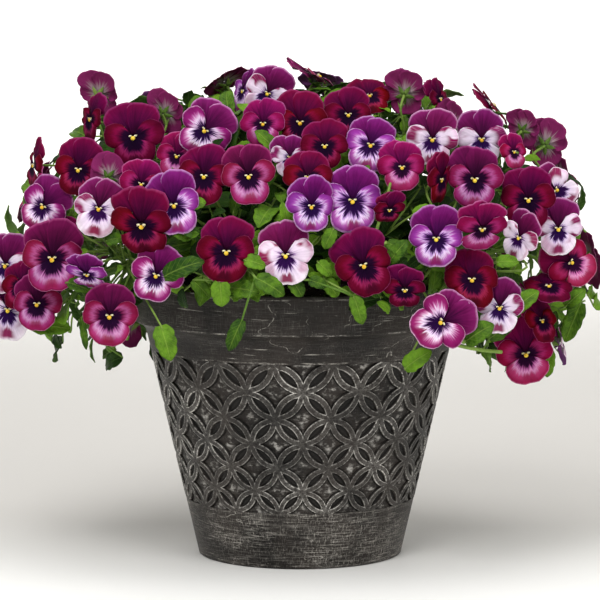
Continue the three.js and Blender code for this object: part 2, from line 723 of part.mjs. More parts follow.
// The point and direction at a share of a stem's length, on the straight runs of its tube
function onStem({ path }, share) {
  const joints = path.getSpacedPoints(STEM_STEPS);
  const run = Math.min(Math.floor(share * STEM_STEPS), STEM_STEPS - 1);
  const along = joints[run + 1].clone().sub(joints[run]);
  const point = joints[run].clone().addScaledVector(along, share * STEM_STEPS - run);
  return { point, along: along.normalize() };
}

// Where a side shoot leaves the side of its stem on the way to its blooms
function shootStart(stem, target, place, reach) {
  const { point, along } = onStem(stem, place);
  const toward = target.clone().sub(point).normalize();
  const aside = toward.addScaledVector(along, -toward.dot(along)).normalize();
  return point.addScaledVector(aside, reach);
}

// Blooms of one stem and one tone share a side shoot, with a stalk from it to each bloom.
// A bloom alone has its stalk for a shoot
function spreadSpray(stem, blooms, place, reach) {
  const middle = blooms.reduce((sum, { eye, out }) => sum.add(eye).addScaledVector(out, -SHOOT_AIM),
    new THREE.Vector3()).multiplyScalar(1 / blooms.length);
  const start = shootStart(stem, middle, place, reach);
  const toward = middle.sub(start).normalize();
  const along = (distance) => start.clone().addScaledVector(toward, distance);
  const spread = ({ eye }) => eye.clone().sub(start).angleTo(toward);
  const ordered = [...blooms].sort((a, b) => spread(b) - spread(a));
  const first = blooms.length > 1 ? SHOOT_FIRST : 0;
  const joints = ordered.map((bloom, k) => along(first + k * SHOOT_PITCH));
  const end = along(first + (blooms.length - 1) * SHOOT_PITCH + SHOOT_RADIUS);
  const stalks = ordered.map((bloom, k) => stalkPath(bloom, joints[k]));
  return { blooms: ordered, start, end, stalks };
}

// A spray whose shoot is brought in until it seats against its stem
function makeSpray(stem, blooms, place) {
  const body = tube(stem.path, STEM_RADIUS, STEM_SIDES, STEM_STEPS);
  let reach = 2 * (STEM_RADIUS + CLEARANCE);
  let spray = spreadSpray(stem, blooms, place, reach);
  for (let k = 0; k < SEATING_STEPS; k += 1) {
    reach -= body.minGap(spraySolid(spray), SEATING_REACH) - CLEARANCE;
    spray = spreadSpray(stem, blooms, place, reach);
  }
  return spray;
}

// Points of a stalk: straight back from the bloom, then over to its joint on the side shoot
function stalkPath({ eye, out, size }, joint) {
  const back = eye.clone().addScaledVector(out, -CALYX_BACK * size);
  const toJoint = joint.clone().sub(back);
  if (out.angleTo(toJoint) > STRAIGHT_BACK) return [back, joint];
  const hook = back.clone().addScaledVector(out, -STALK_HOOK).addScaledVector(toJoint, STALK_LEAN);
  if (out.dot(toJoint) <= 0) return [back, hook, joint];
  const under = eye.clone().addScaledVector(out, -STALK_HOOK / 2);
  under.z -= STALK_DROP * size;
  return [back, hook, under, joint];
}

function spraySolid({ blooms, start, end, stalks }, grow = 0) {
  const parts = blooms.map((bloom, k) => bloomSolid(bloom, stalks[k], grow));
  if (parts.length === 1) return parts[0];
  parts.push(tube(new THREE.LineCurve3(start, end), SHOOT_RADIUS + grow, 4, 1));
  return fused(parts);
}

// One leaf: a thin stalk from its stem, then an arched blade with a scalloped edge
function leafSolid({ start, foot, tip, upper, width }, grow = 0) {
  const skin = new Skin();
  const length = tip.distanceTo(foot);
  const along = tip.clone().sub(foot).normalize();
  const side = upper.clone().cross(along).normalize();
  const up = along.clone().cross(side);
  const place = (share, half, lift) => {
    const arch = LEAF_ARCH * length * (share - share * share) * 4;
    const fold = Math.abs(half) * width * LEAF_FOLD;
    const point = foot.clone().addScaledVector(along, share * length);
    point.addScaledVector(side, half * width + Math.sign(half) * grow);
    return skin.at(point.addScaledVector(up, arch + fold + lift));
  };
  const ring = (centre, direction) => {
    const across = upper.clone().cross(direction).normalize();
    const rise = direction.clone().cross(across);
    return [[1, 0.5], [0, -1], [-1, 0.5]].map(([a, b]) => skin.at(centre.clone()
      .addScaledVector(across, a * (PETIOLE_RADIUS + grow))
      .addScaledVector(rise, b * (PETIOLE_RADIUS + grow))));
  };
  const petiole = foot.clone().sub(start).normalize();
  const [left, under, right] = ring(foot, petiole.clone().add(along).normalize());
  const [startLeft, startUnder, startRight] = ring(start, petiole);
  const above = place(LEAF_MIDDLE, 0, LEAF_THICKNESS + grow);
  const below = place(LEAF_MIDDLE, 0, -LEAF_THICKNESS - grow);
  const outline = LEAF_OUTLINE.map(([share, part]) => place(share, part, 0));
  const mirrored = LEAF_OUTLINE.map(([share, part]) => place(share, -part, 0)).reverse();
  const edge = [left, ...outline, place(1, 0, 0), ...mirrored, right];
  for (let k = 0; k + 1 < edge.length; k += 1) {
    skin.face(above, edge[k + 1], edge[k]);
    skin.face(below, edge[k], edge[k + 1]);
  }
  skin.face(above, left, right);
  skin.face(below, under, left);
  skin.face(below, right, under);
  const near = [left, right, under];
  const far = [startLeft, startRight, startUnder];
  for (let k = 0; k < 3; k += 1) {
    skin.face(near[k], far[(k + 1) % 3], near[(k + 1) % 3]);
    skin.face(near[k], far[k], far[(k + 1) % 3]);
  }
  skin.face(startLeft, startUnder, startRight);
  return skin.toSolid();
}

// Leaves up a stem, each turned about it and kept inside the mound
function stemLeaves(stem, seed) {
  const draw = seededDraws(seed);
  const middle = new THREE.Vector3(0, 0, MOUND.level);
  const count = stem.leafTurns.length;
  return stem.leafTurns.map((turn, k) => {
    const place = LEAVES_FROM + (LEAVES_TO - LEAVES_FROM) * ((k + 0.5) / count);
    const { point: start, along } = onStem(stem, place);
    const outward = start.clone().sub(middle).normalize();
    const side = along.clone().cross(outward).normalize();
    const lift = side.clone().cross(along);
    const angle = turn * DEGREE;
    const ray = side.multiplyScalar(Math.cos(angle)).addScaledVector(lift, Math.sin(angle));
    ray.addScaledVector(along, LEAF_LEAN).addScaledVector(outward, LEAF_LEAN).normalize();
    const width = LEAF_WIDTH * between(LEAF_SPREAD, draw());
    let length = LEAF_LENGTH * between(LEAF_SPREAD, draw());
    const past = () => moundLevel(start.clone().addScaledVector(ray, length)) > LEAF_LEVEL;
    while (length > LEAF_SHORTEST && past()) length -= LEAF_STEP;
    const upper = outward.clone().addScaledVector(Z_AXIS, LEAF_FACING).normalize();
    const tip = start.clone().addScaledVector(ray, length);
    return { start, foot: start.clone().lerp(tip, PETIOLE_SHARE), tip, upper, width };
  });
}

// Leaves that show in front, each on its own stalk from the nearest stem
function frontLeaves(stems) {
  return FRONT_LEAVES.map(([footAcross, footUp, tipAcross, tipUp, width, lift]) => {
    const foot = onSight(footAcross, footUp, moundDepth(footAcross, footUp) - lift);
    const tip = onSight(tipAcross, tipUp, foot.y - lift * TIP_LIFT);
    const index = nearestStem(stems, foot);
    const places = FRONT_STARTS.map((share) => onStem(stems[index], share).point);
    const start = places.reduce((best, point) => (
      point.distanceTo(foot) < best.distanceTo(foot) ? point : best
    ));
    return { index, start, foot, tip, upper: new THREE.Vector3(0, -1, 0.5).normalize(), width };
  });
}

// Sprays of blooms, one or two on each stem: its claret tones and its pale ones
function makeSprays(stems) {
  const front = frontBlooms();
  const blooms = [...front, ...ruleBlooms(front)];
  return stems.flatMap((stem, index) => [false, true].flatMap((pale) => {
    const own = blooms.filter(({ kind, eye }) => (
      nearestStem(stems, eye) === index && PALE_KINDS.includes(kind) === pale
    ));
    return own.length > 0 ? [{ index, pale, spray: makeSpray(stem, own, stem.shoots[pale ? 1 : 0]) }] : [];
  }));
}

// Stems, each in one closed body with its leaves
function leafyStemSolids(stems) {
  const leaves = stems.map((stem, index) => stemLeaves(stem, index + 1));
  for (const leaf of frontLeaves(stems)) leaves[leaf.index].push(leaf);
  return stems.map(({ path }, index) => fused([
    tube(path, STEM_RADIUS, STEM_SIDES, STEM_STEPS),
    ...leaves[index].map((leaf) => leafSolid(leaf)),
  ]));
}

const group = new THREE.Group();

function addPiece(name, solid, colour, roughness) {
  const material = new THREE.MeshStandardMaterial({ color: colour, roughness, metalness: 0 });
  const mesh = new THREE.Mesh(geometryFrom(solid), material);
  mesh.name = name;
  group.add(mesh);
}

const stems = leafyStems();
const number = (index) => String(index + 1).padStart(2, '0');
addPiece('pot', makePot(), POT_COLOUR, 0.55);
addPiece('potting_mix', makePottingMix(), MIX_COLOUR, 1);
leafyStemSolids(stems).forEach((solid, index) => {
  addPiece(`leafy_stem_${number(index)}`, solid, LEAF_COLOUR, 0.6);
});
for (const { index, pale, spray } of makeSprays(stems)) {
  const name = `${pale ? 'pale' : 'claret'}_blooms_${number(index)}`;
  addPiece(name, spraySolid(spray), pale ? PALE_COLOUR : CLARET_COLOUR, 0.65);
}
export default group;
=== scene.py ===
"""Potted pansy planter: the looks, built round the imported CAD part.

The pot, the potting mix, the leafy stems and the sprays of blooms are made again with
fine detail, in the places that the CAD part gives them. Sizes are in millimetres until a
mesh is made, +Z up, with the front towards -Y.
"""

import logging
import math
from dataclasses import dataclass, field
from enum import Enum
from typing import Iterator, Optional, Sequence

import bmesh
import bpy
import numpy as np
from mathutils.geometry import delaunay_2d_cdt
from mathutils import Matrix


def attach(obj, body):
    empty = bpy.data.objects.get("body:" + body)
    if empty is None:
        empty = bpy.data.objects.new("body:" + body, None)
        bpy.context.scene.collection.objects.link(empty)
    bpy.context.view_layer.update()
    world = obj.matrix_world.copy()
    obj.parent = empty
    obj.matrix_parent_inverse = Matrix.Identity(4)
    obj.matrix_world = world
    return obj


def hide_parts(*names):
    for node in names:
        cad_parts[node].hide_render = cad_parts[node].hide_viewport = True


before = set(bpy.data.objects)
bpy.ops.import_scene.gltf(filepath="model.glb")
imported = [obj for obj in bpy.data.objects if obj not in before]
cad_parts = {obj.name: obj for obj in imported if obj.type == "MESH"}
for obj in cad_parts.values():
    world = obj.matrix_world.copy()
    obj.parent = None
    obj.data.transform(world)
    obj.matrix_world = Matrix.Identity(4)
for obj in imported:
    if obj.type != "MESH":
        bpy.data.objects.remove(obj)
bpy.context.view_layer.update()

LOG = logging.getLogger("pansy_planter")
METRES = 0.001
Z_AXIS = np.array((0.0, 0.0, 1.0))
X_AXIS = np.array((1.0, 0.0, 0.0))
GOLDEN_ANGLE = math.pi * (3 - math.sqrt(5))
SHARP_ANGLE = math.radians(38.0)
UPRIGHT = 0.9
TUBE_ACROSS = 0.1
WELD_DISTANCE = 0.00001


class Kind(Enum):
    """Colour of a bloom."""

    CLARET = "claret"
    ROSE = "rose"
    DUSKY = "dusky"
    WHITE = "white"
    PICOTEE = "picotee"
    VIOLET = "violet"


class Zone(Enum):
    """Part of a bloom that a petal belongs to."""

    UPPER = "upper"
    LATERAL = "lateral"
    LOWER = "lower"


PALE_KINDS = (Kind.WHITE, Kind.PICOTEE, Kind.VIOLET)

# Leafy stems from the front round to the back: where each ends, how far up it the claret
# and the pale blooms branch off, and which way round it its leaves point, in degrees
STEMS = [
    ((-62, -138, 288), (0.86, 0.58), (120, 160, 280)),
    ((48, -142, 284), (0.86, 0.94), (60, 180, 320)),
    ((-150, -118, 272), (0.86, 0.94), (100, 240, 240)),
    ((130, -122, 262), (0.86, 0.54), (160, 280, 80)),
    ((-203, -72, 236), (0.86, 0.86), (200, 340, 200)),
    ((193, -84, 220), (0.86, 0.5), (260, 20, 160)),
    ((-226, 24, 262), (0.86, 0.86), (300, 80, 220)),
    ((226, 12, 256), (0.86, 0.86), (0, 120, 260)),
    ((-185, -18, 338), (0.86, 0.86), (40, 180, 320)),
    ((188, -28, 326), (0.86, 0.86), (100, 220, 0)),
    ((-95, -62, 368), (0.86, 0.86), (140, 280, 60)),
    ((2, -64, 372), (1.0, 0.86), (200, 320, 140)),
    ((102, -60, 364), (0.86, 0.86), (240, 20, 160)),
    ((-70, 62, 374), (0.86, 0.86), (300, 100, 200)),
    ((78, 60, 368), (0.86, 0.86), (340, 120, 260)),
    ((-145, 112, 290), (0.86, 0.94), (40, 180, 20)),
    ((0, 142, 300), (0.86, 0.86), (80, 220, 0)),
    ((148, 108, 286), (0.86, 0.86), (140, 260, 40)),
]

# Blooms that face the front: kind, across and up on the plane through the pot's axis, turn
# to the right, tilt up, roll clockwise in degrees, size, and how far each stands forward
FRONT_BLOOMS = [
    ("claret", -149, 374, -5, 10, -5, 1.08, 0),
    ("claret", -198, 345, -10, 5, 5, 0.92, 0),
    ("picotee", -230, 312, -15, 5, 35, 0.92, 0),
    ("white", -180, 310, -5, 10, 9, 0.92, 0),
    ("dusky", -178, 413, 160, 15, 0, 0.8, 0),
    ("claret", -187, 390, -60, 5, 0, 0.8, 0),
    ("claret", -238, 349, -70, 0, 0, 0.8, 0),
    ("rose", -142, 332, 8, 10, 10, 0.78, 0),
    ("claret", -169, 338, 155, 0, 0, 0.75, -12),
    ("claret", -119, 396, 150, 10, 0, 0.75, 0),
    ("picotee", -85, 380, 5, 10, 37, 0.98, 0),
    ("violet", -51, 415, -60, 10, 0, 0.72, -12),
    ("white", -29, 413, 0, 5, 26, 0.84, 0),
    ("rose", -33, 386, -10, 15, 0, 0.82, 0),
    ("claret", 0, 387, 0, 10, 0, 0.96, 0),
    ("claret", -86, 339, 0, 10, 5, 0.92, 0),
    ("dusky", -46, 339, 0, 10, -5, 0.98, 0),
    ("rose", -110, 357, -10, 15, 10, 0.78, -20),
    ("white", -9, 356, 10, 15, 0, 0.72, -8),
    ("violet", -113, 313, 5, 5, -8, 0.98, 5),
    ("claret", 43, 394, 5, 15, 0, 0.86, 0),
    ("claret", 62, 411, 10, 40, 0, 0.78, -8),
    ("dusky", 94, 413, 165, 10, 0, 0.8, 0),
    ("claret", 125, 408, 60, 10, 0, 0.68, 0),
    ("violet", 63, 367, 0, 15, 10, 0.92, 0),
    ("claret", 22, 366, 0, 15, 0, 0.84, 0),
    ("rose", 91, 347, 5, 15, 0, 0.84, 0),
    ("white", 118, 372, 0, 5, 5, 0.94, 0),
    ("claret", 137, 385, 130, 0, 0, 0.75, -20),
    ("claret", 126, 336, 60, -10, 0, 0.82, 0),
    ("violet", 47, 317, 0, 5, 0, 1.04, 0),
    ("violet", 10, 312, 18, 5, 5, 0.88, 8),
    ("claret", 7, 338, 0, 20, 0, 0.88, 2),
    ("claret", 80, 309, 20, -40, 0, 0.6, 6),
    ("white", 162, 372, 5, 10, 0, 0.9, 0),
    ("rose", 191, 361, 30, 10, 0, 0.58, 13),
    ("claret", 200, 381, 150, 10, 0, 0.66, 0),
    ("dusky", 219, 368, 170, 10, 0, 0.82, 0),
    ("dusky", 156, 336, 5, 10, 0, 1.02, 0),
    ("claret", 204, 318, 5, 5, 0, 1.0, 4),
    ("white", 229, 327, 15, 5, -62, 0.84, 0),
    ("white", 231, 292, 10, 5, 0, 0.94, 0),
    ("rose", 243, 262, 15, 5, -50, 0.92, 8),
    ("violet", 122, 283, -5, 5, 0, 0.94, 0),
    ("rose", 163, 292, 10, -40, 0, 0.9, 21),
    ("white", 196, 284, -40, 0, 20, 0.78, 2),
    ("claret", 57, 259, 0, 0, -18, 1.02, 3),
    ("claret", 94, 237, 0, -35, 0, 0.76, 0),
    ("picotee", 127, 208, 0, 0, 60, 1.02, 8),
    ("white", 179, 221, 0, 0, 0, 0.88, 4),
    ("claret", 154, 246, 5, 20, 0, 0.98, -6),
    ("rose", 203, 179, 0, 0, -10, 1.06, 0),
    ("claret", 223, 240, 10, 60, 0, 0.9, 0),
    ("claret", 217, 209, 40, 20, 0, 0.78, -6),
    ("claret", -66, 271, 0, 5, 3, 1.02, 0),
    ("white", -13, 268, 0, 5, -4, 1.0, 0),
    ("dusky", -222, 265, -10, 5, 0, 1.14, 0),
    ("picotee", -129, 250, -5, 0, 18, 0.94, 0),
    ("dusky", -171, 213, -5, 10, 0, 1.0, 9),
    ("white", -264, 259, -20, 5, 0, 0.98, 0),
    ("white", -262, 219, -20, 0, 0, 1.02, 0),
    ("dusky", -236, 224, -10, 15, 0, 0.94, -8),
    ("claret", -250, 240, -20, 20, 0, 0.86, -10),
    ("violet", -191, 251, -20, -50, 0, 0.78, 4),
    ("claret", -142, 295, -10, -25, 0, 1.12, 15),
    ("claret", -213, 285, -20, 10, 0, 0.62, -26),
]

# Leaves that show in front: across and up of foot and tip, width, and forward reach. The
# first seventeen are the CAD part's own, the third of them a little shorter than there
FRONT_LEAVES = [
    (-122, 249, -86, 263, 19, 20),
    (-40, 248, -14, 232, 18, 6),
    (-125, 205, -116, 173, 20, 20),
    (-52, 210, -64, 182, 14, 8),
    (-268, 282, -238, 272, 14, 0),
    (-241, 205, -206, 202, 20, 0),
    (-196, 212, -192, 183, 7, 0),
    (48, 232, 56, 206, 14, 0),
    (94, 166, 118, 182, 18, 6),
    (148, 190, 174, 206, 20, 10),
    (190, 218, 214, 236, 17, 4),
    (220, 192, 230, 218, 12, -10),
    (252, 226, 238, 190, 18, 2),
    (224, 184, 222, 158, 13, 2),
    (78, 280, 96, 268, 13, 0),
    (-114, 294, -98, 282, 15, -4),
    (-72, 246, -70, 222, 18, 0),
    (80, 262, 96, 282, 14, 0),
    (-102, 312, -84, 316, 13, -4),
    (-104, 292, -86, 282, 12, -4),
    (-174, 281, -158, 284, 13, -8),
    (-50, 264, -30, 258, 14, 0),
    (8, 246, 24, 240, 12, 0),
    (238, 222, 256, 238, 15, 0),
    (176, 262, 196, 262, 13, 0),
    (-208, 244, -188, 236, 13, 0),
    (30, 292, 22, 274, 13, -2),
    (-30, 249, -38, 232, 15, -6),
    (-8, 247, 2, 231, 14, -4),
    (22, 246, 34, 231, 14, -8),
    (58, 244, 72, 231, 14, -6),
    (-96, 246, -82, 231, 14, -6),
    (16, 262, 28, 250, 13, -6),
]

# Bare stalks that show between the blooms: across and up along each, radius, forward reach
SHOWN_STALKS = [
    ([(66, 276), (70, 296), (76, 314), (81, 334)], 1.5, -6),
    ([(112, 204), (126, 193), (143, 187), (162, 183), (181, 181)], 1.9, 6),
]


class Draws:
    """Repeatable draws between 0 and 1."""

    WORD = 0xFFFFFFFF
    STEP = 0x6D2B79F5

    def __init__(self, seed: int) -> None:
        """Starts the draws at a whole number."""
        self.state = seed & self.WORD

    def __call__(self) -> float:
        """The next draw, by the same rule as in the CAD part."""
        self.state = (self.state + self.STEP) & self.WORD
        mixed = ((self.state ^ (self.state >> 15)) * (self.state | 1)) & self.WORD
        mixed = ((mixed + (((mixed ^ (mixed >> 7)) * (mixed | 61)) & self.WORD)) & self.WORD) ^ mixed
        return (mixed ^ (mixed >> 14)) / (self.WORD + 1)

    def within(self, low: float, high: float) -> float:
        """A draw between two limits."""
        return low + (high - low) * self()


def unit(vector: np.ndarray) -> np.ndarray:
    """The vector at length 1."""
    return vector / max(float(np.linalg.norm(vector)), 1e-9)


def angle_between(one: np.ndarray, other: np.ndarray) -> float:
    """Angle between two directions of length 1."""
    return math.acos(max(-1.0, min(1.0, float(np.dot(one, other)))))


def angles_round(count: int) -> np.ndarray:
    """Even angles once round a circle."""
    return np.arange(count) * 2 * math.pi / count


def shares_over(rows: int, columns: int) -> tuple[np.ndarray, np.ndarray]:
    """Places across a sheet from -1 to 1, and along it from 0 to 1, as a row and a column."""
    return np.linspace(-1, 1, columns)[None, :], np.linspace(0, 1, rows)[:, None]


def smooth_step(share: np.ndarray) -> np.ndarray:
    """An even rise from 0 to 1 as the share goes from 0 to 1."""
    held = np.clip(share, 0, 1)
    return held * held * (3 - 2 * held)


def colour(code: str) -> tuple[float, float, float, float]:
    """A screen colour written as six hex digits, as the linear colour that a shader takes."""
    parts = [int(code[k:k + 2], 16) / 255 for k in (0, 2, 4)]
    linear = [p / 12.92 if p <= 0.04045 else ((p + 0.055) / 1.055) ** 2.4 for p in parts]
    return (*linear, 1.0)


class Skin:
    """Points, faces and per-point values that become one mesh with several finishes."""

    def __init__(self) -> None:
        """Starts with nothing."""
        self.points: list[np.ndarray] = []
        self.grain: list[np.ndarray] = []
        self.faces: list[np.ndarray] = []
        self.finishes: list[str] = []
        self.count = 0

    def add(self, points: np.ndarray, faces: Sequence, finish: str, grain: np.ndarray) -> None:
        """Adds a patch.

        Args:
            points: Places, in millimetres, one row each.
            faces: Corner numbers of each face, all of one length, counted within the patch.
            finish: Name of the material that the patch wears.
            grain: Three values at each point, which the material reads.
        """
        self.points.append(np.asarray(points, dtype=float).reshape(-1, 3))
        self.grain.append(np.broadcast_to(grain, self.points[-1].shape))
        self.join(faces, finish, self.count)
        self.count += len(self.points[-1])

    def join(self, faces: Sequence, finish: str, base: int) -> None:
        """Adds faces between the points of a patch that starts at a base number."""
        corners = np.asarray(faces, dtype=int)
        self.faces.append(corners + base)
        self.finishes += [finish] * len(corners)

    def add_rings(self, rings: Sequence, finish: str, grain: np.ndarray, flip: bool = False) -> None:
        """Adds a body of even rings that follow each other, closed by a flat face at each end.

        Args:
            rings: Points of each ring, in millimetres.
            finish: Name of the material that the body wears.
            grain: Three values that the material reads.
            flip: Whether the faces look the other way.
        """
        stack = np.asarray(rings, dtype=float)
        rows, sides = stack.shape[:2]
        base = self.count
        self.add(stack, grid_faces(rows, sides, closed=True, flip=flip), finish, grain)
        ends = np.array([np.arange(sides)[::-1], (rows - 1) * sides + np.arange(sides)])
        self.join(ends[:, ::-1] if flip else ends, finish, base)

    def to_object(self, name: str, nodes: Sequence[str],
                  sharp: bool = False) -> bpy.types.Object:
        """Makes the mesh object, which rides on the body and stands for its CAD nodes.

        Args:
            name: Name of the piece.
            nodes: CAD nodes that it replaces.
            sharp: Whether edges sharper than a set angle stay crisp.

        Returns:
            The object, in metres, at the origin.
        """
        names = sorted(set(self.finishes))
        places = np.concatenate(self.points) * METRES
        rows = [list(map(int, face)) for block in self.faces for face in block]
        mesh = bpy.data.meshes.new(name)
        mesh.from_pydata(places.tolist(), [], rows)
        grain = mesh.attributes.new("grain", "FLOAT_VECTOR", "POINT")
        grain.data.foreach_set("vector", np.concatenate(self.grain).astype(np.float32).ravel())
        for finish in names:
            mesh.materials.append(bpy.data.materials[finish])
        order = {finish: k for k, finish in enumerate(names)}
        mesh.polygons.foreach_set("material_index", [order[f] for f in self.finishes])
        mesh.polygons.foreach_set("use_smooth", [True] * len(rows))
        if sharp:
            mesh.set_sharp_from_angle(angle=SHARP_ANGLE)
        mesh.update()
        piece = bpy.data.objects.new(name, mesh)
        bpy.context.scene.collection.objects.link(piece)
        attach(piece, "root")
        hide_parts(*nodes)
        LOG.info("%s: %d points, %d faces", name, len(places), len(rows))
        return piece


def grid_faces(rows: int, columns: int, closed: bool = False, flip: bool = False) -> np.ndarray:
    """Faces of a grid of points, counted row by row.

    Args:
        rows: Points one way.
        columns: Points the other way.
        closed: Whether the last column joins the first.
        flip: Whether the faces look the other way.

    Returns:
        Four corner numbers for each face.
    """
    last = columns if closed else columns - 1
    i, j = np.meshgrid(np.arange(rows - 1), np.arange(last), indexing="ij")
    after = (j + 1) % columns
    low, high = i * columns, (i + 1) * columns
    quads = np.stack([low + j, low + after, high + after, high + j], -1).reshape(-1, 4)
    return quads[:, ::-1] if flip else quads


def add_sheet(skin: Skin, front: np.ndarray, back: np.ndarray, finish: str, back_finish: str,
              grain: Sequence) -> None:
    """Adds a thin closed sheet with a face, a back and an edge all round.

    Args:
        skin: Where the sheet goes.
        front: Grid of points of the face.
        back: Grid of points of the back, of the same shape.
        finish: Material of the face and the edge.
        back_finish: Material of the back.
        grain: Place across, place along and seed, which the materials read.
    """
    rows, columns = front.shape[:2]
    count = rows * columns
    spots = np.arange(count).reshape(rows, columns)
    edge = np.concatenate([spots[0], spots[1:, -1], spots[-1, -2::-1], spots[-2:0:-1, 0]])
    ahead = np.roll(edge, -1)
    points = np.concatenate([front.reshape(-1, 3), back.reshape(-1, 3)])
    values = np.stack(np.broadcast_arrays(*grain), -1).reshape(-1, 3)
    base = skin.count
    skin.add(points, grid_faces(rows, columns), finish, np.concatenate([values, values]))
    skin.join(grid_faces(rows, columns, flip=True) + count, back_finish, base)
    skin.join(np.stack([ahead, edge, edge + count, ahead + count], -1), finish, base)


def add_tube(skin: Skin, path: np.ndarray, radii: Sequence[float], finish: str, seed: float,
             sides: int = 6) -> None:
    """Adds a round stem along a path, closed at both ends.

    Args:
        skin: Where the stem goes.
        path: Points along its middle.
        radii: Radius at each point.
        finish: Material that it wears.
        seed: Value that sets its shade.
        sides: Points round it.
    """
    along = np.gradient(path, axis=0)
    along /= np.linalg.norm(along, axis=1)[:, None]
    side = unit(np.cross(along[0], Z_AXIS if abs(along[0][2]) < UPRIGHT else X_AXIS))
    rings = []
    angles = angles_round(sides)
    ways = np.cos(angles)[:, None], np.sin(angles)[:, None]
    for point, direction, radius in zip(path, along, radii):
        side = unit(side - direction * float(np.dot(side, direction)))
        rings.append(point + radius * (ways[0] * side + ways[1] * np.cross(direction, side)))
    rows = len(rings)
    points = np.concatenate([*rings, path[:1], path[-1:]])
    shares = np.repeat(np.linspace(0, 1, rows), sides)
    grain = np.stack(np.broadcast_arrays(TUBE_ACROSS, shares, seed), -1)
    grain = np.concatenate([grain, grain[:1], grain[-1:]])
    base = skin.count
    skin.add(points, grid_faces(rows, sides, closed=True), finish, grain)
    foot, top = rows * sides, rows * sides + 1
    caps = [(foot, (k + 1) % sides, k) for k in range(sides)]
    caps += [(top, (rows - 1) * sides + k, (rows - 1) * sides + (k + 1) % sides) for k in range(sides)]
    skin.join(caps, finish, base)


def curve_through(points: Sequence[np.ndarray], steps: int) -> np.ndarray:
    """A smooth curve through points, with even steps between each two of them."""
    held = [np.asarray(p, dtype=float) for p in points]
    held = [2 * held[0] - held[1], *held, 2 * held[-1] - held[-2]]
    found = []
    for a, b, c, d in zip(held, held[1:], held[2:], held[3:]):
        for t in np.arange(steps) / steps:
            found.append(0.5 * (2 * b + (c - a) * t + (2 * a - 5 * b + 4 * c - d) * t ** 2
                                + (3 * b - a - 3 * c + d) * t ** 3))
    found.append(held[-2])
    return np.array(found)


class Value:
    """One value of a material, to be added, multiplied and compared by the plain signs."""

    def __init__(self, sheet: "Nodes", socket: bpy.types.NodeSocket) -> None:
        """Holds the socket that gives the value."""
        self.sheet = sheet
        self.socket = socket

    def __add__(self, other: object) -> "Value":
        """The sum."""
        return self.sheet.math("ADD", self, other)

    def __sub__(self, other: object) -> "Value":
        """The value less another."""
        return self.sheet.math("SUBTRACT", self, other)

    def __rsub__(self, other: float) -> "Value":
        """A number less the value."""
        return self.sheet.math("SUBTRACT", other, self)

    def __mul__(self, other: object) -> "Value":
        """The product."""
        return self.sheet.math("MULTIPLY", self, other)

    def __or__(self, other: object) -> "Value":
        """The larger of the two."""
        return self.sheet.math("MAXIMUM", self, other)

    def __abs__(self) -> "Value":
        """The value without its sign."""
        return self.sheet.math("ABSOLUTE", self)

    def span(self, low: float, high: float, to_low: float = 0.0, to_high: float = 1.0) -> "Value":
        """The value carried smoothly from one range to another, and held at its ends."""
        made = self.sheet.node("ShaderNodeMapRange", interpolation_type="SMOOTHSTEP")
        return self.sheet.fed(made, self, low, high, to_low, to_high)


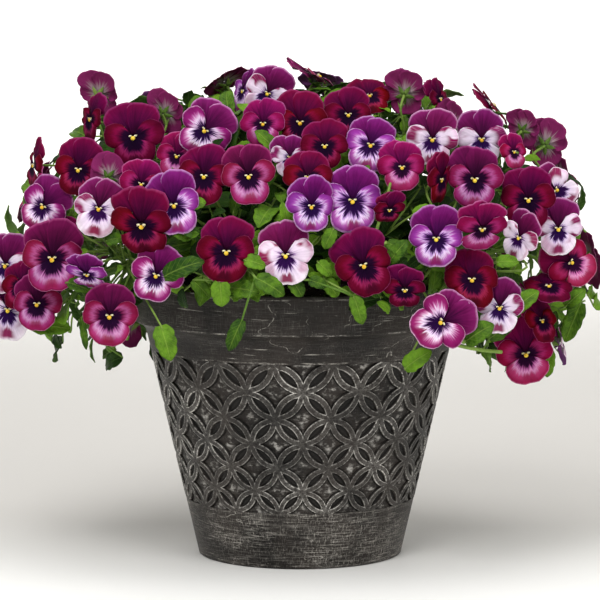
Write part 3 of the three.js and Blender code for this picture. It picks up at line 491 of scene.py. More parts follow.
class Nodes:
    """Short calls that lay out the nodes of one material."""

    def __init__(self, name: str, roughness: float, metallic: float = 0.0, specular: float = 0.5) -> None:
        """Starts a material whose even values sit on the shader's own sockets."""
        self.material = bpy.data.materials.new(name)
        self.material.use_nodes = True
        self.tree = self.material.node_tree
        self.shader = self.tree.nodes["Principled BSDF"]
        self.shader.inputs["Roughness"].default_value = roughness
        self.shader.inputs["Metallic"].default_value = metallic
        self.shader.inputs["Specular IOR Level"].default_value = specular

    def node(self, kind: str, **settings: object) -> bpy.types.Node:
        """A new node with its settings."""
        made = self.tree.nodes.new(kind)
        for key, value in settings.items():
            setattr(made, key, value)
        return made

    def put(self, value: object, socket: bpy.types.NodeSocket) -> None:
        """Links a value to a socket, or sets a plain number or colour on it."""
        if isinstance(value, Value):
            self.tree.links.new(value.socket, socket)
        else:
            socket.default_value = value

    def fed(self, made: bpy.types.Node, *values: object) -> Value:
        """The first outcome of a node whose first inputs take the values."""
        for value, socket in zip(values, made.inputs):
            self.put(value, socket)
        return Value(self, made.outputs[0])

    def math(self, operation: str, *values: object) -> Value:
        """The outcome of a sum on one or two values."""
        return self.fed(self.node("ShaderNodeMath", operation=operation), *values)

    def vector(self, *values: object) -> Value:
        """Three values as one vector."""
        return self.fed(self.node("ShaderNodeCombineXYZ"), *values)

    def parts(self, vector: Value) -> tuple[Value, ...]:
        """The three values of a vector."""
        made = self.node("ShaderNodeSeparateXYZ")
        self.put(vector, made.inputs[0])
        return tuple(Value(self, socket) for socket in made.outputs)

    def grain(self) -> tuple[Value, ...]:
        """The three values that the mesh carries at each point."""
        source = self.node("ShaderNodeAttribute", attribute_name="grain")
        return self.parts(Value(self, source.outputs["Vector"]))

    def place(self) -> Value:
        """The point's place in metres."""
        return Value(self, self.node("ShaderNodeTexCoord").outputs["Object"])

    def noise(self, vector: Value, scale: float, detail: float = 4.0, rough: float = 0.55) -> Value:
        """A cloud of even values round one half."""
        made = self.node("ShaderNodeTexNoise")
        self.put(vector, made.inputs["Vector"])
        made.inputs["Scale"].default_value = scale
        made.inputs["Detail"].default_value = detail
        made.inputs["Roughness"].default_value = rough
        return Value(self, made.outputs["Fac"])

    def cloud(self, scale: float, detail: float = 4.0, rough: float = 0.55) -> Value:
        """A cloud over the point's place."""
        return self.noise(self.place(), scale, detail, rough)

    def drawn(self, flat: float, high: float, detail: float, rough: float = 0.55) -> Value:
        """A cloud over the point's place, drawn out by one scale level and another upright."""
        made = self.node("ShaderNodeMapping")
        self.put(self.place(), made.inputs["Vector"])
        made.inputs["Scale"].default_value = (flat, flat, high)
        return self.noise(Value(self, made.outputs[0]), 1.0, detail, rough)

    def ramp(self, value: Value, stops: Sequence[tuple[float, str]]) -> Value:
        """Colours along a value, each stop a place and six hex digits."""
        made = self.node("ShaderNodeValToRGB")
        held = made.color_ramp.elements
        while len(held) < len(stops):
            held.new(0.5)
        for element, (place, code) in zip(held, stops):
            element.position = place
            element.color = colour(code)
        return self.fed(made, value)

    def mix(self, share: Value, first: object, second: str) -> Value:
        """Two colours mixed by a share; a text of six hex digits is a colour."""
        made = self.node("ShaderNodeMix", data_type="RGBA")
        self.put(share, made.inputs["Factor"])
        for value, socket in zip((first, second), (made.inputs[6], made.inputs[7])):
            self.put(colour(value) if isinstance(value, str) else value, socket)
        return Value(self, made.outputs[2])

    def finish(self, shade: Value, height: Optional[Value] = None, depth: float = 0.2,
               roughness: Optional[Value] = None) -> None:
        """Puts the colour, the relief and the roughness on the shader.

        Args:
            shade: Base colour.
            height: Relief, from 0 to 1.
            depth: Height of the relief, in millimetres.
            roughness: Roughness where it changes over the surface.
        """
        self.put(shade, self.shader.inputs["Base Color"])
        if height is not None:
            bump = self.node("ShaderNodeBump")
            bump.inputs["Strength"].default_value = 1.0
            bump.inputs["Distance"].default_value = depth * METRES
            self.put(height, bump.inputs["Height"])
            self.put(Value(self, bump.outputs[0]), self.shader.inputs["Normal"])
        if roughness is not None:
            self.put(roughness, self.shader.inputs["Roughness"])


@dataclass(frozen=True)
class PetalFinish:
    """Colours of one petal from the eye out to its edge, as text: a place and a colour in turn."""

    kind: Kind
    zone: Zone
    bands: str
    blush: str = "7c0c50"
    blush_share: float = 0.0
    spot: str = "7a1540"
    spot_share: float = 0.0
    feather: float = 0.16

    ROUGHNESS = 0.66
    SHINE = 0.025
    LINES = (9.0, 0.9)
    FINE_LINES = (26.0, 1.44)
    SEED_STEP = 37.0
    CLOUD_SCALE = 90.0
    HUE_SWAY = 0.036
    VEIN_RELIEF = 0.5

    @property
    def name(self) -> str:
        """Name of the material."""
        return f"{self.kind.value}_{self.zone.value}_petal"

    def make(self) -> None:
        """Makes the material: colours out along the petal, feathered by its veins."""
        sheet = Nodes(self.name, self.ROUGHNESS, specular=self.SHINE)
        across, along, seed = sheet.grain()
        turn = seed * self.SEED_STEP
        lines, fine = (sheet.noise(sheet.vector(across * wide, along * high, turn), 1.0, detail)
                       for (wide, high), detail in ((self.LINES, 2.0), (self.FINE_LINES, 3.0)))
        shift = (lines * 0.6 + fine * 0.4 - 0.5) * (self.feather * 4)
        reach = along + shift * along.span(0.6, 0.93, 1.0, 0.06)
        words = self.bands.split()
        shade = sheet.ramp(reach, [(float(place), code) for place, code in zip(words[::2], words[1::2])])
        if self.blush_share:
            patch = sheet.noise(sheet.vector(across * 1.1, along, turn), 1.0, 1.0).span(0.44, 0.52)
            patch = patch * along.span(0.45, 0.7) * fine.span(0.3, 0.55, 0.8, 1.0)
            patch = patch * along.span(0.94, 0.99, 1.0, 0.3)
            shade = sheet.mix(patch * self.blush_share, shade, self.blush)
        if self.spot_share:
            spot = abs(across).span(0.12, 0.34, 1.0, 0.0) * reach.span(0.52, 0.66)
            spot = spot * along.span(0.86, 0.97, 1.0, 0.0)
            shade = sheet.mix(spot * self.spot_share, shade, self.spot)
        tone = sheet.cloud(self.CLOUD_SCALE, 3.0) * 0.7 + seed * 0.2 + lines * 0.5 + 0.3
        tinted = sheet.node("ShaderNodeHueSaturation")
        for value, socket in ((tone, "Value"), (seed * self.HUE_SWAY + 0.49, "Hue"), (shade, "Color")):
            sheet.put(value, tinted.inputs[socket])
        sheet.finish(Value(sheet, tinted.outputs[0]), fine * 0.6 + lines * 0.4, self.VEIN_RELIEF)


PETAL_FINISHES = (
    PetalFinish(Kind.CLARET, Zone.UPPER, "0 20031a .35 36032a .7 520535 .93 660639 1 883062"),
    PetalFinish(Kind.CLARET, Zone.LATERAL,
                "0 12031a .34 200422 .44 50062a .57 720838 .76 5c0422 .97 4c031e 1 802c54"),
    PetalFinish(Kind.CLARET, Zone.LOWER,
                "0 10031a .4 1e0422 .49 6c1444 .58 8a204e .74 5e0526 .97 4c031c 1 883060",
                spot="34041a", spot_share=0.75, feather=0.2),
    PetalFinish(Kind.ROSE, Zone.UPPER, "0 2c0424 .4 50063a .75 700a46 .94 841050 1 b05c90"),
    PetalFinish(Kind.ROSE, Zone.LATERAL,
                "0 14041c .3 280628 .42 78184c .58 9a2464 .78 820c42 .97 72083a 1 b46090"),
    PetalFinish(Kind.ROSE, Zone.LOWER,
                "0 14041c .32 280628 .41 a04c8c .53 c884b4 .7 a0346c .95 841448 1 b86c98",
                spot_share=0.5),
    PetalFinish(Kind.DUSKY, Zone.UPPER, "0 1e041c .35 320528 .7 4e0a38 .93 620f46 1 984078"),
    PetalFinish(Kind.DUSKY, Zone.LATERAL,
                "0 12031c .34 220424 .44 6e1c4c .6 9c4880 .78 7c184a .97 680e34 1 a45282"),
    PetalFinish(Kind.DUSKY, Zone.LOWER,
                "0 10031c .38 200626 .48 904a84 .62 bc84b4 .8 943070 .97 7a1246 1 b46c98",
                spot_share=0.8),
    PetalFinish(Kind.WHITE, Zone.UPPER, "0 26041e .35 420a34 .7 5c0e44 .93 701a58 1 c08ab4"),
    PetalFinish(Kind.WHITE, Zone.LATERAL,
                "0 1c0a34 .13 2c0e42 .21 a488b8 .28 d2c2d6 .8 d8c6d8 .95 d2aecc 1 f2e4f0",
                blush_share=1.0, feather=0.26),
    PetalFinish(Kind.WHITE, Zone.LOWER,
                "0 1a0a34 .35 2a0c42 .42 ac90c0 .49 d8c8de .85 e0d0e0 1 f4e8f2",
                blush="94286c", blush_share=0.5, spot="740c44", spot_share=0.95, feather=0.22),
    PetalFinish(Kind.PICOTEE, Zone.UPPER, "0 240424 .35 400836 .7 600f4a .93 741c5c 1 bc80b0"),
    PetalFinish(Kind.PICOTEE, Zone.LATERAL,
                "0 1a082e .24 2c0c3e .33 b488b8 .43 e2cce4 .6 b464a0 .74 861c66 .95 701454 1 cc90ba",
                feather=0.3),
    PetalFinish(Kind.PICOTEE, Zone.LOWER,
                "0 1a082e .34 280a3c .42 c09ccc .53 eedff0 .7 c47cac .84 8c2868 .95 7a1858 1 d8aace",
                spot="740c44", spot_share=0.85, feather=0.28),
    PetalFinish(Kind.VIOLET, Zone.UPPER, "0 24042c .35 3c0840 .7 580c50 .93 701a68 1 b480b8"),
    PetalFinish(Kind.VIOLET, Zone.LATERAL,
                "0 16062c .26 280c3e .36 84509c .48 cca8d8 .64 9c4ca0 .78 80308a .95 702070 1 c090c4",
                feather=0.28),
    PetalFinish(Kind.VIOLET, Zone.LOWER,
                "0 16062c .36 260a3c .45 a880c0 .57 e2ccea .76 a858a6 .92 7c2c7c 1 cca0cc",
                spot="741048", spot_share=0.85, feather=0.28),
)


@dataclass(frozen=True)
class PetalBack:
    """Back of the petals: paler and duller, greenish near the stalk."""

    name: str
    inner: str
    outer: str
    shadow: str = "2c0c30"

    LINES = 12.0
    SEED_STEP = 31.0

    def make(self) -> None:
        """Makes the material with soft veins from the stalk outwards."""
        sheet = Nodes(self.name, 0.75, specular=0.06)
        across, along, seed = sheet.grain()
        lines = sheet.noise(sheet.vector(across * self.LINES, along, seed * self.SEED_STEP), 1.0, 3.0)
        reach = along + (lines - 0.5) * 0.9
        shade = sheet.mix(reach.span(0.1, 0.62), self.inner, self.outer)
        shade = sheet.mix(sheet.cloud(70.0, 3.0).span(0.3, 0.8, 0.0, 0.25), shade, self.shadow)
        sheet.finish(shade, lines, 0.5)


@dataclass(frozen=True)
class GreenFinish:
    """Leaf or stem green, darker or lighter from one leaf to the next."""

    name: str
    dark: str
    light: str
    vein: str
    vein_share: float
    roughness: float = 0.5

    SIDE_VEINS = 15.0
    VEIN_SLANT = 0.275

    def make(self) -> None:
        """Makes the material with a pale midrib and slanting side veins."""
        sheet = Nodes(self.name, self.roughness, specular=0.12)
        across, along, seed = sheet.grain()
        side = abs(across)
        tone = seed * 0.6 + sheet.cloud(110.0, 5.0, 0.65)
        shade = sheet.mix(tone.span(0.4, 1.25), self.dark, self.light)
        wave = sheet.math("SINE", (along - side * self.VEIN_SLANT) * (self.SIDE_VEINS * math.pi))
        veins = side.span(0.0, 0.12, 1.0, 0.0) | wave.span(0.86, 1.0) * 0.55
        shade = sheet.mix(veins * self.vein_share, shade, self.vein)
        sheet.finish(shade, sheet.cloud(300.0, 3.0) - veins * 0.8, 0.7)


@dataclass(frozen=True)
class PlainFinish:
    """A small part of one colour that is mottled a little."""

    name: str
    dark: str
    light: str
    roughness: float

    MOTTLE = 300.0

    def make(self) -> None:
        """Makes the material with a fine mottle and relief."""
        sheet = Nodes(self.name, self.roughness, specular=0.35)
        cloud = sheet.cloud(self.MOTTLE, 5.0)
        sheet.finish(sheet.mix(cloud.span(0.3, 0.7), self.dark, self.light), cloud, 0.4)


@dataclass(frozen=True)
class PotFinish:
    """Dark pewter-grey resin, dry-brushed with pale silver."""

    name: str = "brushed_resin"
    ground_dark: str = "0f0c0a"
    ground_light: str = "2c2622"
    # near-black, painted shade for the hollows of the lattice
    groove_shade: str = "060504"
    silver: str = "bcb7ae"
    bright: str = "e0dcd4"

    # Brush marks: how fine they are level and upright, and between which values they show
    LEVEL = (60.0, 1200.0, 0.5, 0.68)
    WIDE = (24.0, 380.0, 0.5, 0.72)
    UPRIGHT = (1000.0, 70.0, 0.5, 0.7)
    SCRATCH = (20.0, 560.0, 0.63, 0.69)
    FLECK = (110.0, 900.0, 0.66, 0.72)
    DASHES = (70.0, 420.0, 0.45, 0.62)
    SLIP = (420.0, 18.0, 0.7, 0.74)

    # Edges where the silver is worn through: level in metres and share
    WORN_EDGES = ((0.0505, 0.7), (0.1875, 0.8), (0.2135, 0.8), (0.2445, 0.6), (0.003, 0.7))
    WORN_NEAR = 0.0001
    WORN_FAR = 0.0011

    def make(self) -> None:
        """Makes the resin: dark ground, level and upright strokes, silver on what stands up, and painted
        shade in the lattice's hollows.
        """
        sheet = Nodes(self.name, 0.5, metallic=0.15, specular=0.25)
        raised, lattice, pillow = sheet.grain()
        height = sheet.parts(sheet.place())[2]
        cloud = sheet.cloud(22.0, 5.0)
        speckle = sheet.cloud(1000.0, 3.0, 0.7)
        hammered = sheet.cloud(380.0, 4.0, 0.65)
        marks = (self.LEVEL, self.WIDE, self.UPRIGHT, self.SCRATCH, self.FLECK, self.DASHES, self.SLIP)
        level, wide, upright, scratch, fleck, dashes, slip = (
            sheet.drawn(flat, high, 6.0, 0.7).span(low, top) for flat, high, low, top in marks)
        patches = sheet.drawn(15.0, 26.0, 5.0, 0.65).span(0.4, 0.64)
        strokes = level * 0.8 + wide * 0.35 + upright * 0.75
        strokes = strokes * speckle.span(0.3, 0.65, 0.35, 1.0) * (patches * 0.85 + 0.28)
        # Silver strokes by height: strong on the foot band, thinning up to the rim. Partly sparser
        # dry-brushing, partly painted light on the foot band and painted shade on the upper band under the
        # overhanging plants.
        strokes = strokes * height.span(0.05, 0.19, 1.1, 0.24)
        crease = abs(sheet.drawn(13.0, 20.0, 3.0) - 0.53).span(0.0, 0.004, 0.75, 0.0)
        crease = crease * cloud.span(0.46, 0.54) * hammered.span(0.4, 0.55)
        strokes = strokes | scratch * 0.8 | slip * 0.6 | fleck * 0.75 | crease
        dashes = dashes * hammered.span(0.36, 0.56, 0.15, 0.9)
        for edge, share in self.WORN_EDGES:
            strokes = strokes | abs(height - edge).span(self.WORN_NEAR, self.WORN_FAR, share, 0.0) * dashes
        shade = sheet.mix(cloud.span(0.3, 0.7), self.ground_dark, self.ground_light)
        shade = sheet.mix(strokes * (1.0 - lattice * 0.72), shade, self.silver)
        # Painted shade: the lens pockets and the grooves round the diamonds are darkened towards near-black,
        # standing in for the shade that gathers in the lattice's hollows.
        recess_shade = raised.span(0.12, 0.36, 0.8, 0.0) * lattice * pillow.span(0.0, 0.3, 1.0, 0.0)
        shade = sheet.mix(recess_shade, shade, self.groove_shade)
        broken = hammered.span(0.4, 0.54, 0.12, 1.0) * speckle.span(0.35, 0.55, 0.4, 1.0)
        top = pillow.span(0.0, 0.02, 1.0, 0.0)
        crest = raised.span(0.47, 0.52) * 0.14 + raised.span(0.7, 0.94)
        lifted = crest * top * lattice * broken * (patches * 0.75 + 0.25)
        daub = sheet.drawn(130.0, 190.0, 5.0, 0.65).span(0.48, 0.68)
        daub = daub * pillow.span(0.35, 1.0, 0.08, 0.5) * (1.0 - top)
        shade = sheet.mix(lifted | daub, shade, self.bright)
        relief = hammered * 0.6 + level * 0.25 + upright * 0.15
        sheet.finish(shade, relief, 0.4, strokes.span(0.0, 0.6, 0.46, 0.6))


@dataclass(frozen=True)
class MixFinish:
    """Damp peaty potting mix with pale specks."""

    name: str = "peaty_mix"
    crumbs: tuple[tuple[float, str], ...] = ((0.3, "120b07"), (0.5, "2a1c12"), (0.7, "4a3524"))
    grains: str = "b8b0a0"

    def make(self) -> None:
        """Makes the material: dark crumbs, brown fibres and a few pale grains."""
        sheet = Nodes(self.name, 0.95, specular=0.2)
        crumbs = sheet.cloud(260.0, 6.0, 0.7)
        grains = sheet.cloud(520.0, 2.0).span(0.72, 0.76)
        sheet.finish(sheet.mix(grains, sheet.ramp(crumbs, self.crumbs), self.grains), crumbs, 1.5)


FINISHES = (
    *PETAL_FINISHES,
    PetalBack("claret_back", "b8a4a8", "84285e"),
    PetalBack("pale_back", "a8a890", "94509a"),
    GreenFinish("leaf_green", "1a3808", "6e9a24", "9ab850", 0.3),
    GreenFinish("leaf_back", "3c5c24", "70924a", "9cb474", 0.35, 0.65),
    # Darker green: painted shade for the innermost leaves of the mound, and a darker own tone for leaves
    # picked at random
    GreenFinish("deep_leaf", "122a06", "3a6014", "5c8034", 0.25),
    GreenFinish("stem_green", "486a22", "8ca650", "9cb468", 0.2, 0.45),
    PlainFinish("eye_yellow", "d8a01c", "f4d848", 0.6),
    PlainFinish("beard_cream", "d8c88a", "f2ead0", 0.8),
    PlainFinish("throat_mauve", "5c3a50", "86907a", 0.7),
    PotFinish(),
    MixFinish(),
)


@dataclass
class Pot:
    """Tapered resin pot with a lattice of overlapping circles and four drain holes."""

    foot_radius: float = 91.0
    wall_slope: float = 0.231
    height: float = 248.0
    rim_radius: float = 152.5
    rim_foot_radius: float = 149.8
    rim_foot_level: float = 213.0
    inner_step_level: float = 216.0
    cove_level: float = 205.0
    cove_radius: float = 139.2
    wall: float = 3.6
    floor: float = 5.0
    foot_chamfer: float = 2.5
    drain_radius: float = 6.0
    drain_ring: float = 52.0
    drain_count: int = 4
    drain_sides: int = 24
    lattice_foot: float = 51.5
    lattice_top: float = 186.5
    rows: int = 6
    columns: int = 32
    turn: float = 0.022
    depth: float = 2.4
    cusp: float = 0.336
    lens_tip: float = 0.166
    strap_radius: float = 0.9525
    strap_half: float = 0.1025
    crown: float = 0.45
    arc_steps: int = 8
    strap_steps: int = 4
    middle_rings: tuple[tuple[float, float], ...] = (
        (1.0, 0.0), (0.97, 0.85), (0.92, 1.0), (0.78, 0.88), (0.54, 0.7), (0.3, 0.58), (0.0, 0.54))
    pillow_edge: float = 0.92
    pillow_reach: float = 0.5
    lens_rings: tuple[tuple[float, float], ...] = ((1.0, 0.0), (0.86, 0.8), (0.6, 1.0), (0.0, 0.86))
    foot_edge: float = 0.9
    foot_levels: tuple[float, ...] = (8.0, 16.0, 24.0, 32.0, 40.0, 46.0, 49.0)
    neck_levels: tuple[float, ...] = (188.5, 192.0, 197.0, 201.0)
    cove: tuple[tuple[float, float], ...] = ((141.0, 207.6), (144.2, 210.0), (147.6, 211.6))
    rim_side: tuple[tuple[float, float], ...] = (
        (150.3, 216.0), (150.8, 224.0), (151.5, 232.0), (152.0, 240.0))
    inner_bend: tuple[float, float] = (120.0, 136.0)

    RESIN = "brushed_resin"
    PLACE_STEPS = 4096
    SINK_STEPS = 1000
    SUNK_SHADE = 0.9
    STRAP_SHADE = 0.5
    BAND_RAISED = 0.2
    FLOOR_GRAIN = np.array((0.1, 0.0, 0.0))
    HOLE_EDGE = 0.98
    MERGED = 1e-5

    def wall_radius(self, level: float) -> float:
        """Radius of the outer wall at a level."""
        return self.foot_radius + self.wall_slope * level

    @staticmethod
    def point(radius: float, angle: float, level: float) -> tuple[float, float, float]:
        """A point round the pot's axis."""
        return (radius * math.sin(angle), -radius * math.cos(angle), level)

    def lattice_point(self, column: float, row: float, sink: float) -> tuple[float, float, float]:
        """A point of the lattice, whose rows grow with the pot's radius."""
        low, high = self.wall_radius(self.lattice_foot), self.wall_radius(self.lattice_top)
        radius = low * math.exp(math.log(high / low) / self.rows * row)
        level = (radius - self.foot_radius) / self.wall_slope
        angle = self.turn + 2 * math.pi * column / self.columns
        return self.point(radius - sink, angle, level)

    def strap_rise(self, a: float, b: float) -> float:
        """How far the rounded back of the straps stands up at a point of a cell."""
        best = 0.0
        for u, v in ((0, 1), (1, 0), (-1, 0), (0, -1), (2, 1), (1, 2)):
            off = (math.hypot(a - u, b - v) - self.strap_radius) / self.strap_half
            best = max(best, 1 - off * off)
        return self.crown * best

    def corner(self, made: dict, place: tuple[float, float], sink: float,
               marks: tuple[float, float]) -> int:
        """The number of a lattice point, shared where it was made before.

        Args:
            made: Number, place and grain of each point made so far.
            place: Column and row.
            sink: How deep it lies under the wall's face.
            marks: Raised and pillow shares.

        Returns:
            The number of the point.
        """
        column, row = place
        key = (round((column % self.columns) * self.PLACE_STEPS), round(row * self.PLACE_STEPS),
               round(sink * self.SINK_STEPS))
        if key not in made:
            made[key] = (len(made), self.lattice_point(column, row, sink), (marks[0], 1.0, marks[1]))
        return made[key][0]

    def half_cell(self) -> tuple[list[tuple[float, ...]], list[tuple[int, ...]]]:
        """One half of a cell, below its diagonal.

        Returns:
            Points as two places in the cell, sink, raised and pillow shares, and the faces between them.
        """
        points: list[tuple[float, ...]] = []
        faces: list[tuple[int, ...]] = []
        steps, across = self.arc_steps, self.strap_steps
        inner_turn = math.atan2(self.lens_tip, 1 - self.lens_tip)
        outer_turn = math.atan(self.cusp)
        inner_radius = math.hypot(self.lens_tip, 1 - self.lens_tip)
        outer_radius = math.hypot(self.cusp, 1)

        def put(a: float, b: float, sink: Optional[float] = None, raised: float = 1.0,
                pillow: float = 0.0) -> int:
            """Adds a point; on a strap its height comes from the strap's round back."""
            crest = self.strap_rise(a, b)
            raised = 1 - self.STRAP_SHADE * crest / self.crown if sink is None else raised
            points.append((a, b, -crest if sink is None else sink, raised, pillow))
            return len(points) - 1

        strap = []
        for i in range(steps + 1):
            row = []
            for j in range(across + 1):
                low = inner_turn + (outer_turn - inner_turn) * j / across
                angle = low + (math.pi / 2 - 2 * low) * i / steps
                radius = inner_radius + (outer_radius - inner_radius) * j / across
                row.append(put(radius * math.sin(angle), 1 - radius * math.cos(angle)))
            strap.append(row)
        for i in range(steps):
            for j in range(across):
                faces.append((strap[i][j], strap[i][j + 1], strap[i + 1][j + 1], strap[i + 1][j]))
        for start, row, sign in ((0.0, strap[0], 1), (1.0, strap[-1], -1)):
            apex = put(start, start)
            half = put(self.cusp / 2, 0.0) if sign > 0 else put(1.0, 1 - self.cusp / 2)
            fan = [(apex, row[j + 1], row[j]) for j in range(across - 1)]
            fan += [(apex, half, row[-2]), (half, row[-1], row[-2])]
            faces += [f if sign > 0 else f[::-1] for f in fan]
        for rings, onto in ((self.middle_rings, 1), (self.lens_rings, 0)):
            edge = [row[-1] if onto else row[0] for row in strap]
            before = edge
            for share, sink in rings[1:]:
                after = []
                for i, known in enumerate(edge):
                    a, b = points[known][:2]
                    to_a, to_b = (1.0, 0.0) if onto else ((a + b) / 2, (a + b) / 2)
                    fixed = not onto and i in (0, steps)
                    place = (to_a + share * (a - to_a), to_b + share * (b - to_b))
                    pillow = onto * min(1.0, max(0.0, (self.pillow_edge - share) / self.pillow_reach))
                    shade = 1 - sink * self.SUNK_SHADE
                    after.append(known if fixed else put(*place, sink * self.depth, shade, pillow))
                for i in range(steps):
                    quad = (before[i], after[i], after[i + 1], before[i + 1])
                    faces.append(quad if onto else quad[::-1])
                before = after
        return points, faces

    def build_lattice(self, skin: Skin) -> None:
        """Adds every cell of the lattice, each cell as two mirrored halves."""
        half_points, half_faces = self.half_cell()
        made: dict = {}
        faces: list = []
        for row in range(self.rows):
            for column in range(self.columns):
                mirrored = (column + row) % 2 == 0
                for swap in (False, True):
                    known = []
                    for a, b, sink, raised, pillow in half_points:
                        u, v = (b, a) if swap else (a, b)
                        across = column + 1 - u if mirrored else column + u
                        known.append(self.corner(made, (across, row + v), sink, (raised, pillow)))
                    flip = swap != mirrored
                    for face in half_faces:
                        named = list(dict.fromkeys(known[k] for k in face))
                        faces.append(named[::-1] if flip else named)
        _, points, grain = zip(*made.values())
        base = skin.count
        skin.add(np.array(points), [f for f in faces if len(f) == 4], self.RESIN, np.array(grain))
        skin.join([f for f in faces if len(f) == 3], self.RESIN, base)

    def edge_places(self) -> list[tuple[float, float, float]]:
        """Places along one cell's foot, from its crossing: place, sink and raised share."""
        rises = [(a, self.strap_rise(a, 0.0)) for a in (0.0, self.cusp / 2, self.cusp)]
        found = [(a, -rise, 1 - self.STRAP_SHADE * rise / self.crown) for a, rise in rises]
        for share, sink in self.middle_rings[1:]:
            shade = 1 - sink * self.SUNK_SHADE
            found.append((1 - share * (1 - self.cusp), sink * self.depth, shade))
        return found

    def edge_ring(self, row: int) -> tuple[list[float], list[float], list[float]]:
        """Columns, sinks and raised shares all the way round a row of the lattice."""
        along = []
        for column in range(self.columns):
            crossing = (column + row) % 2 == 1
            for place, sink, raised in self.edge_places():
                across = column + place if crossing else column + 1 - place
                along.append((across % self.columns, sink, raised))
        kept = {round(a * self.PLACE_STEPS): (a, s, r) for a, s, r in along}
        ordered = [kept[k] for k in sorted(kept)]
        return tuple(list(v) for v in zip(*ordered))

    def build_bands(self, skin: Skin) -> None:
        """Adds the plain bands, the rim and the inside, on the same columns as the lattice."""
        lip = self.rim_radius - self.wall / 2
        bead = self.wall / 2
        low = (self.foot_edge, self.foot_chamfer, *self.foot_levels)
        below = [(self.foot_radius - self.foot_chamfer, 0.0), (self.foot_radius - self.foot_edge, 0.25)]
        below += [(self.wall_radius(z), z) for z in low]
        above = [(self.wall_radius(z), z) for z in self.neck_levels]
        above += [(self.cove_radius, self.cove_level), *self.cove]
        above += [(self.rim_foot_radius, self.rim_foot_level), *self.rim_side]
        above += [(self.rim_radius, self.height - bead)]
        angles = np.linspace(0, math.pi, 7)[1:-1]
        above += [(lip + bead * math.cos(a), self.height - bead + bead * math.sin(a)) for a in angles]
        above += [(self.rim_radius - self.wall, self.height - bead)]
        above += [(self.rim_foot_radius - self.wall, self.inner_step_level)]
        above += [(self.cove_radius - self.wall, self.cove_level), self.inner_bend]
        above += [(self.wall_radius(self.floor) - self.wall, self.floor)]
        for row, profile in ((0, below), (self.rows, above)):
            columns, sinks, raised = self.edge_ring(row)
            turns = [self.turn + 2 * math.pi * c / self.columns for c in columns]
            deep = [self.lattice_point(c, row, s) for c, s in zip(columns, sinks)]
            flush = [self.lattice_point(c, row, 0.0) for c in columns]
            rings = [[self.point(radius, t, level) for t in turns] for radius, level in profile]
            stack = [*rings, flush, deep] if row == 0 else [deep, flush, *rings]
            values = np.zeros((len(stack), len(turns), 3))
            values[:, :, 0] = self.BAND_RAISED
            edge = -1 if row == 0 else 0
            values[edge, :, 0] = raised
            values[edge, :, 1] = 1.0
            faces = grid_faces(len(stack), len(turns), closed=True)
            skin.add(stack, faces, self.RESIN, values.reshape(-1, 3))

    def build_floor(self, skin: Skin) -> None:
        """Adds the floor's two faces and the walls of its drain holes."""
        holes = []
        for k in range(self.drain_count):
            middle = (k + 0.5) * 2 * math.pi / self.drain_count
            centre = np.array((self.drain_ring * math.cos(middle), self.drain_ring * math.sin(middle)))
            around = angles_round(self.drain_sides)
            ring = np.stack([np.cos(around), np.sin(around)], -1)
            holes.append((centre, centre + self.drain_radius * ring))
        columns = {0: self.edge_ring(0)[0], 1: self.edge_ring(self.rows)[0]}
        sides = ((self.foot_radius - self.foot_chamfer, 0.0, columns[0], False),
                 (self.wall_radius(self.floor) - self.wall, self.floor, columns[1], True))
        for radius, level, places, up in sides:
            turns = [self.turn + 2 * math.pi * c / self.columns for c in places]
            outline = [self.point(radius, t, 0.0)[:2] for t in turns]
            loops = [outline] + [ring.tolist() for _, ring in holes]
            flat = [p for loop in loops for p in loop]
            edges = []
            for loop in loops:
                start = len(edges)
                edges += [(start + k, start + (k + 1) % len(loop)) for k in range(len(loop))]
            made = delaunay_2d_cdt(flat, edges, [], 0, self.MERGED)
            spots = np.array([tuple(v) for v in made[0]])
            kept = []
            for face in made[2]:
                corners = spots[list(face)]
                near = min(np.linalg.norm(corners.mean(0) - centre) for centre, _ in holes)
                if near > self.drain_radius * self.HOLE_EDGE:
                    turned = np.cross(corners[1] - corners[0], corners[2] - corners[0])
                    kept.append(face if (turned > 0) == up else face[::-1])
            spread = np.column_stack([spots, np.full(len(spots), level)])
            skin.add(spread, kept, self.RESIN, self.FLOOR_GRAIN)
        for _, ring in holes:
            low = np.column_stack([ring, np.zeros(len(ring))])
            high = np.column_stack([ring, np.full(len(ring), self.floor)])
            faces = grid_faces(2, len(ring), closed=True, flip=True)
            skin.add(np.concatenate([low, high]), faces, self.RESIN, self.FLOOR_GRAIN)

    def build(self) -> bpy.types.Object:
        """Makes the whole pot, its patches joined into one closed mesh."""
        skin = Skin()
        self.build_lattice(skin)
        self.build_bands(skin)
        self.build_floor(skin)
        piece = skin.to_object("resin_pot", ["pot"], sharp=True)
        weld(piece)
        piece.data.set_sharp_from_angle(angle=SHARP_ANGLE)
        return piece


def weld(piece: bpy.types.Object) -> None:
    """Joins points that lie on each other, and drops faces that close up."""
    shape = bmesh.new()
    shape.from_mesh(piece.data)
    bmesh.ops.remove_doubles(shape, verts=shape.verts, dist=WELD_DISTANCE)
    bmesh.ops.dissolve_degenerate(shape, edges=shape.edges, dist=WELD_DISTANCE)
    shape.to_mesh(piece.data)
    shape.free()


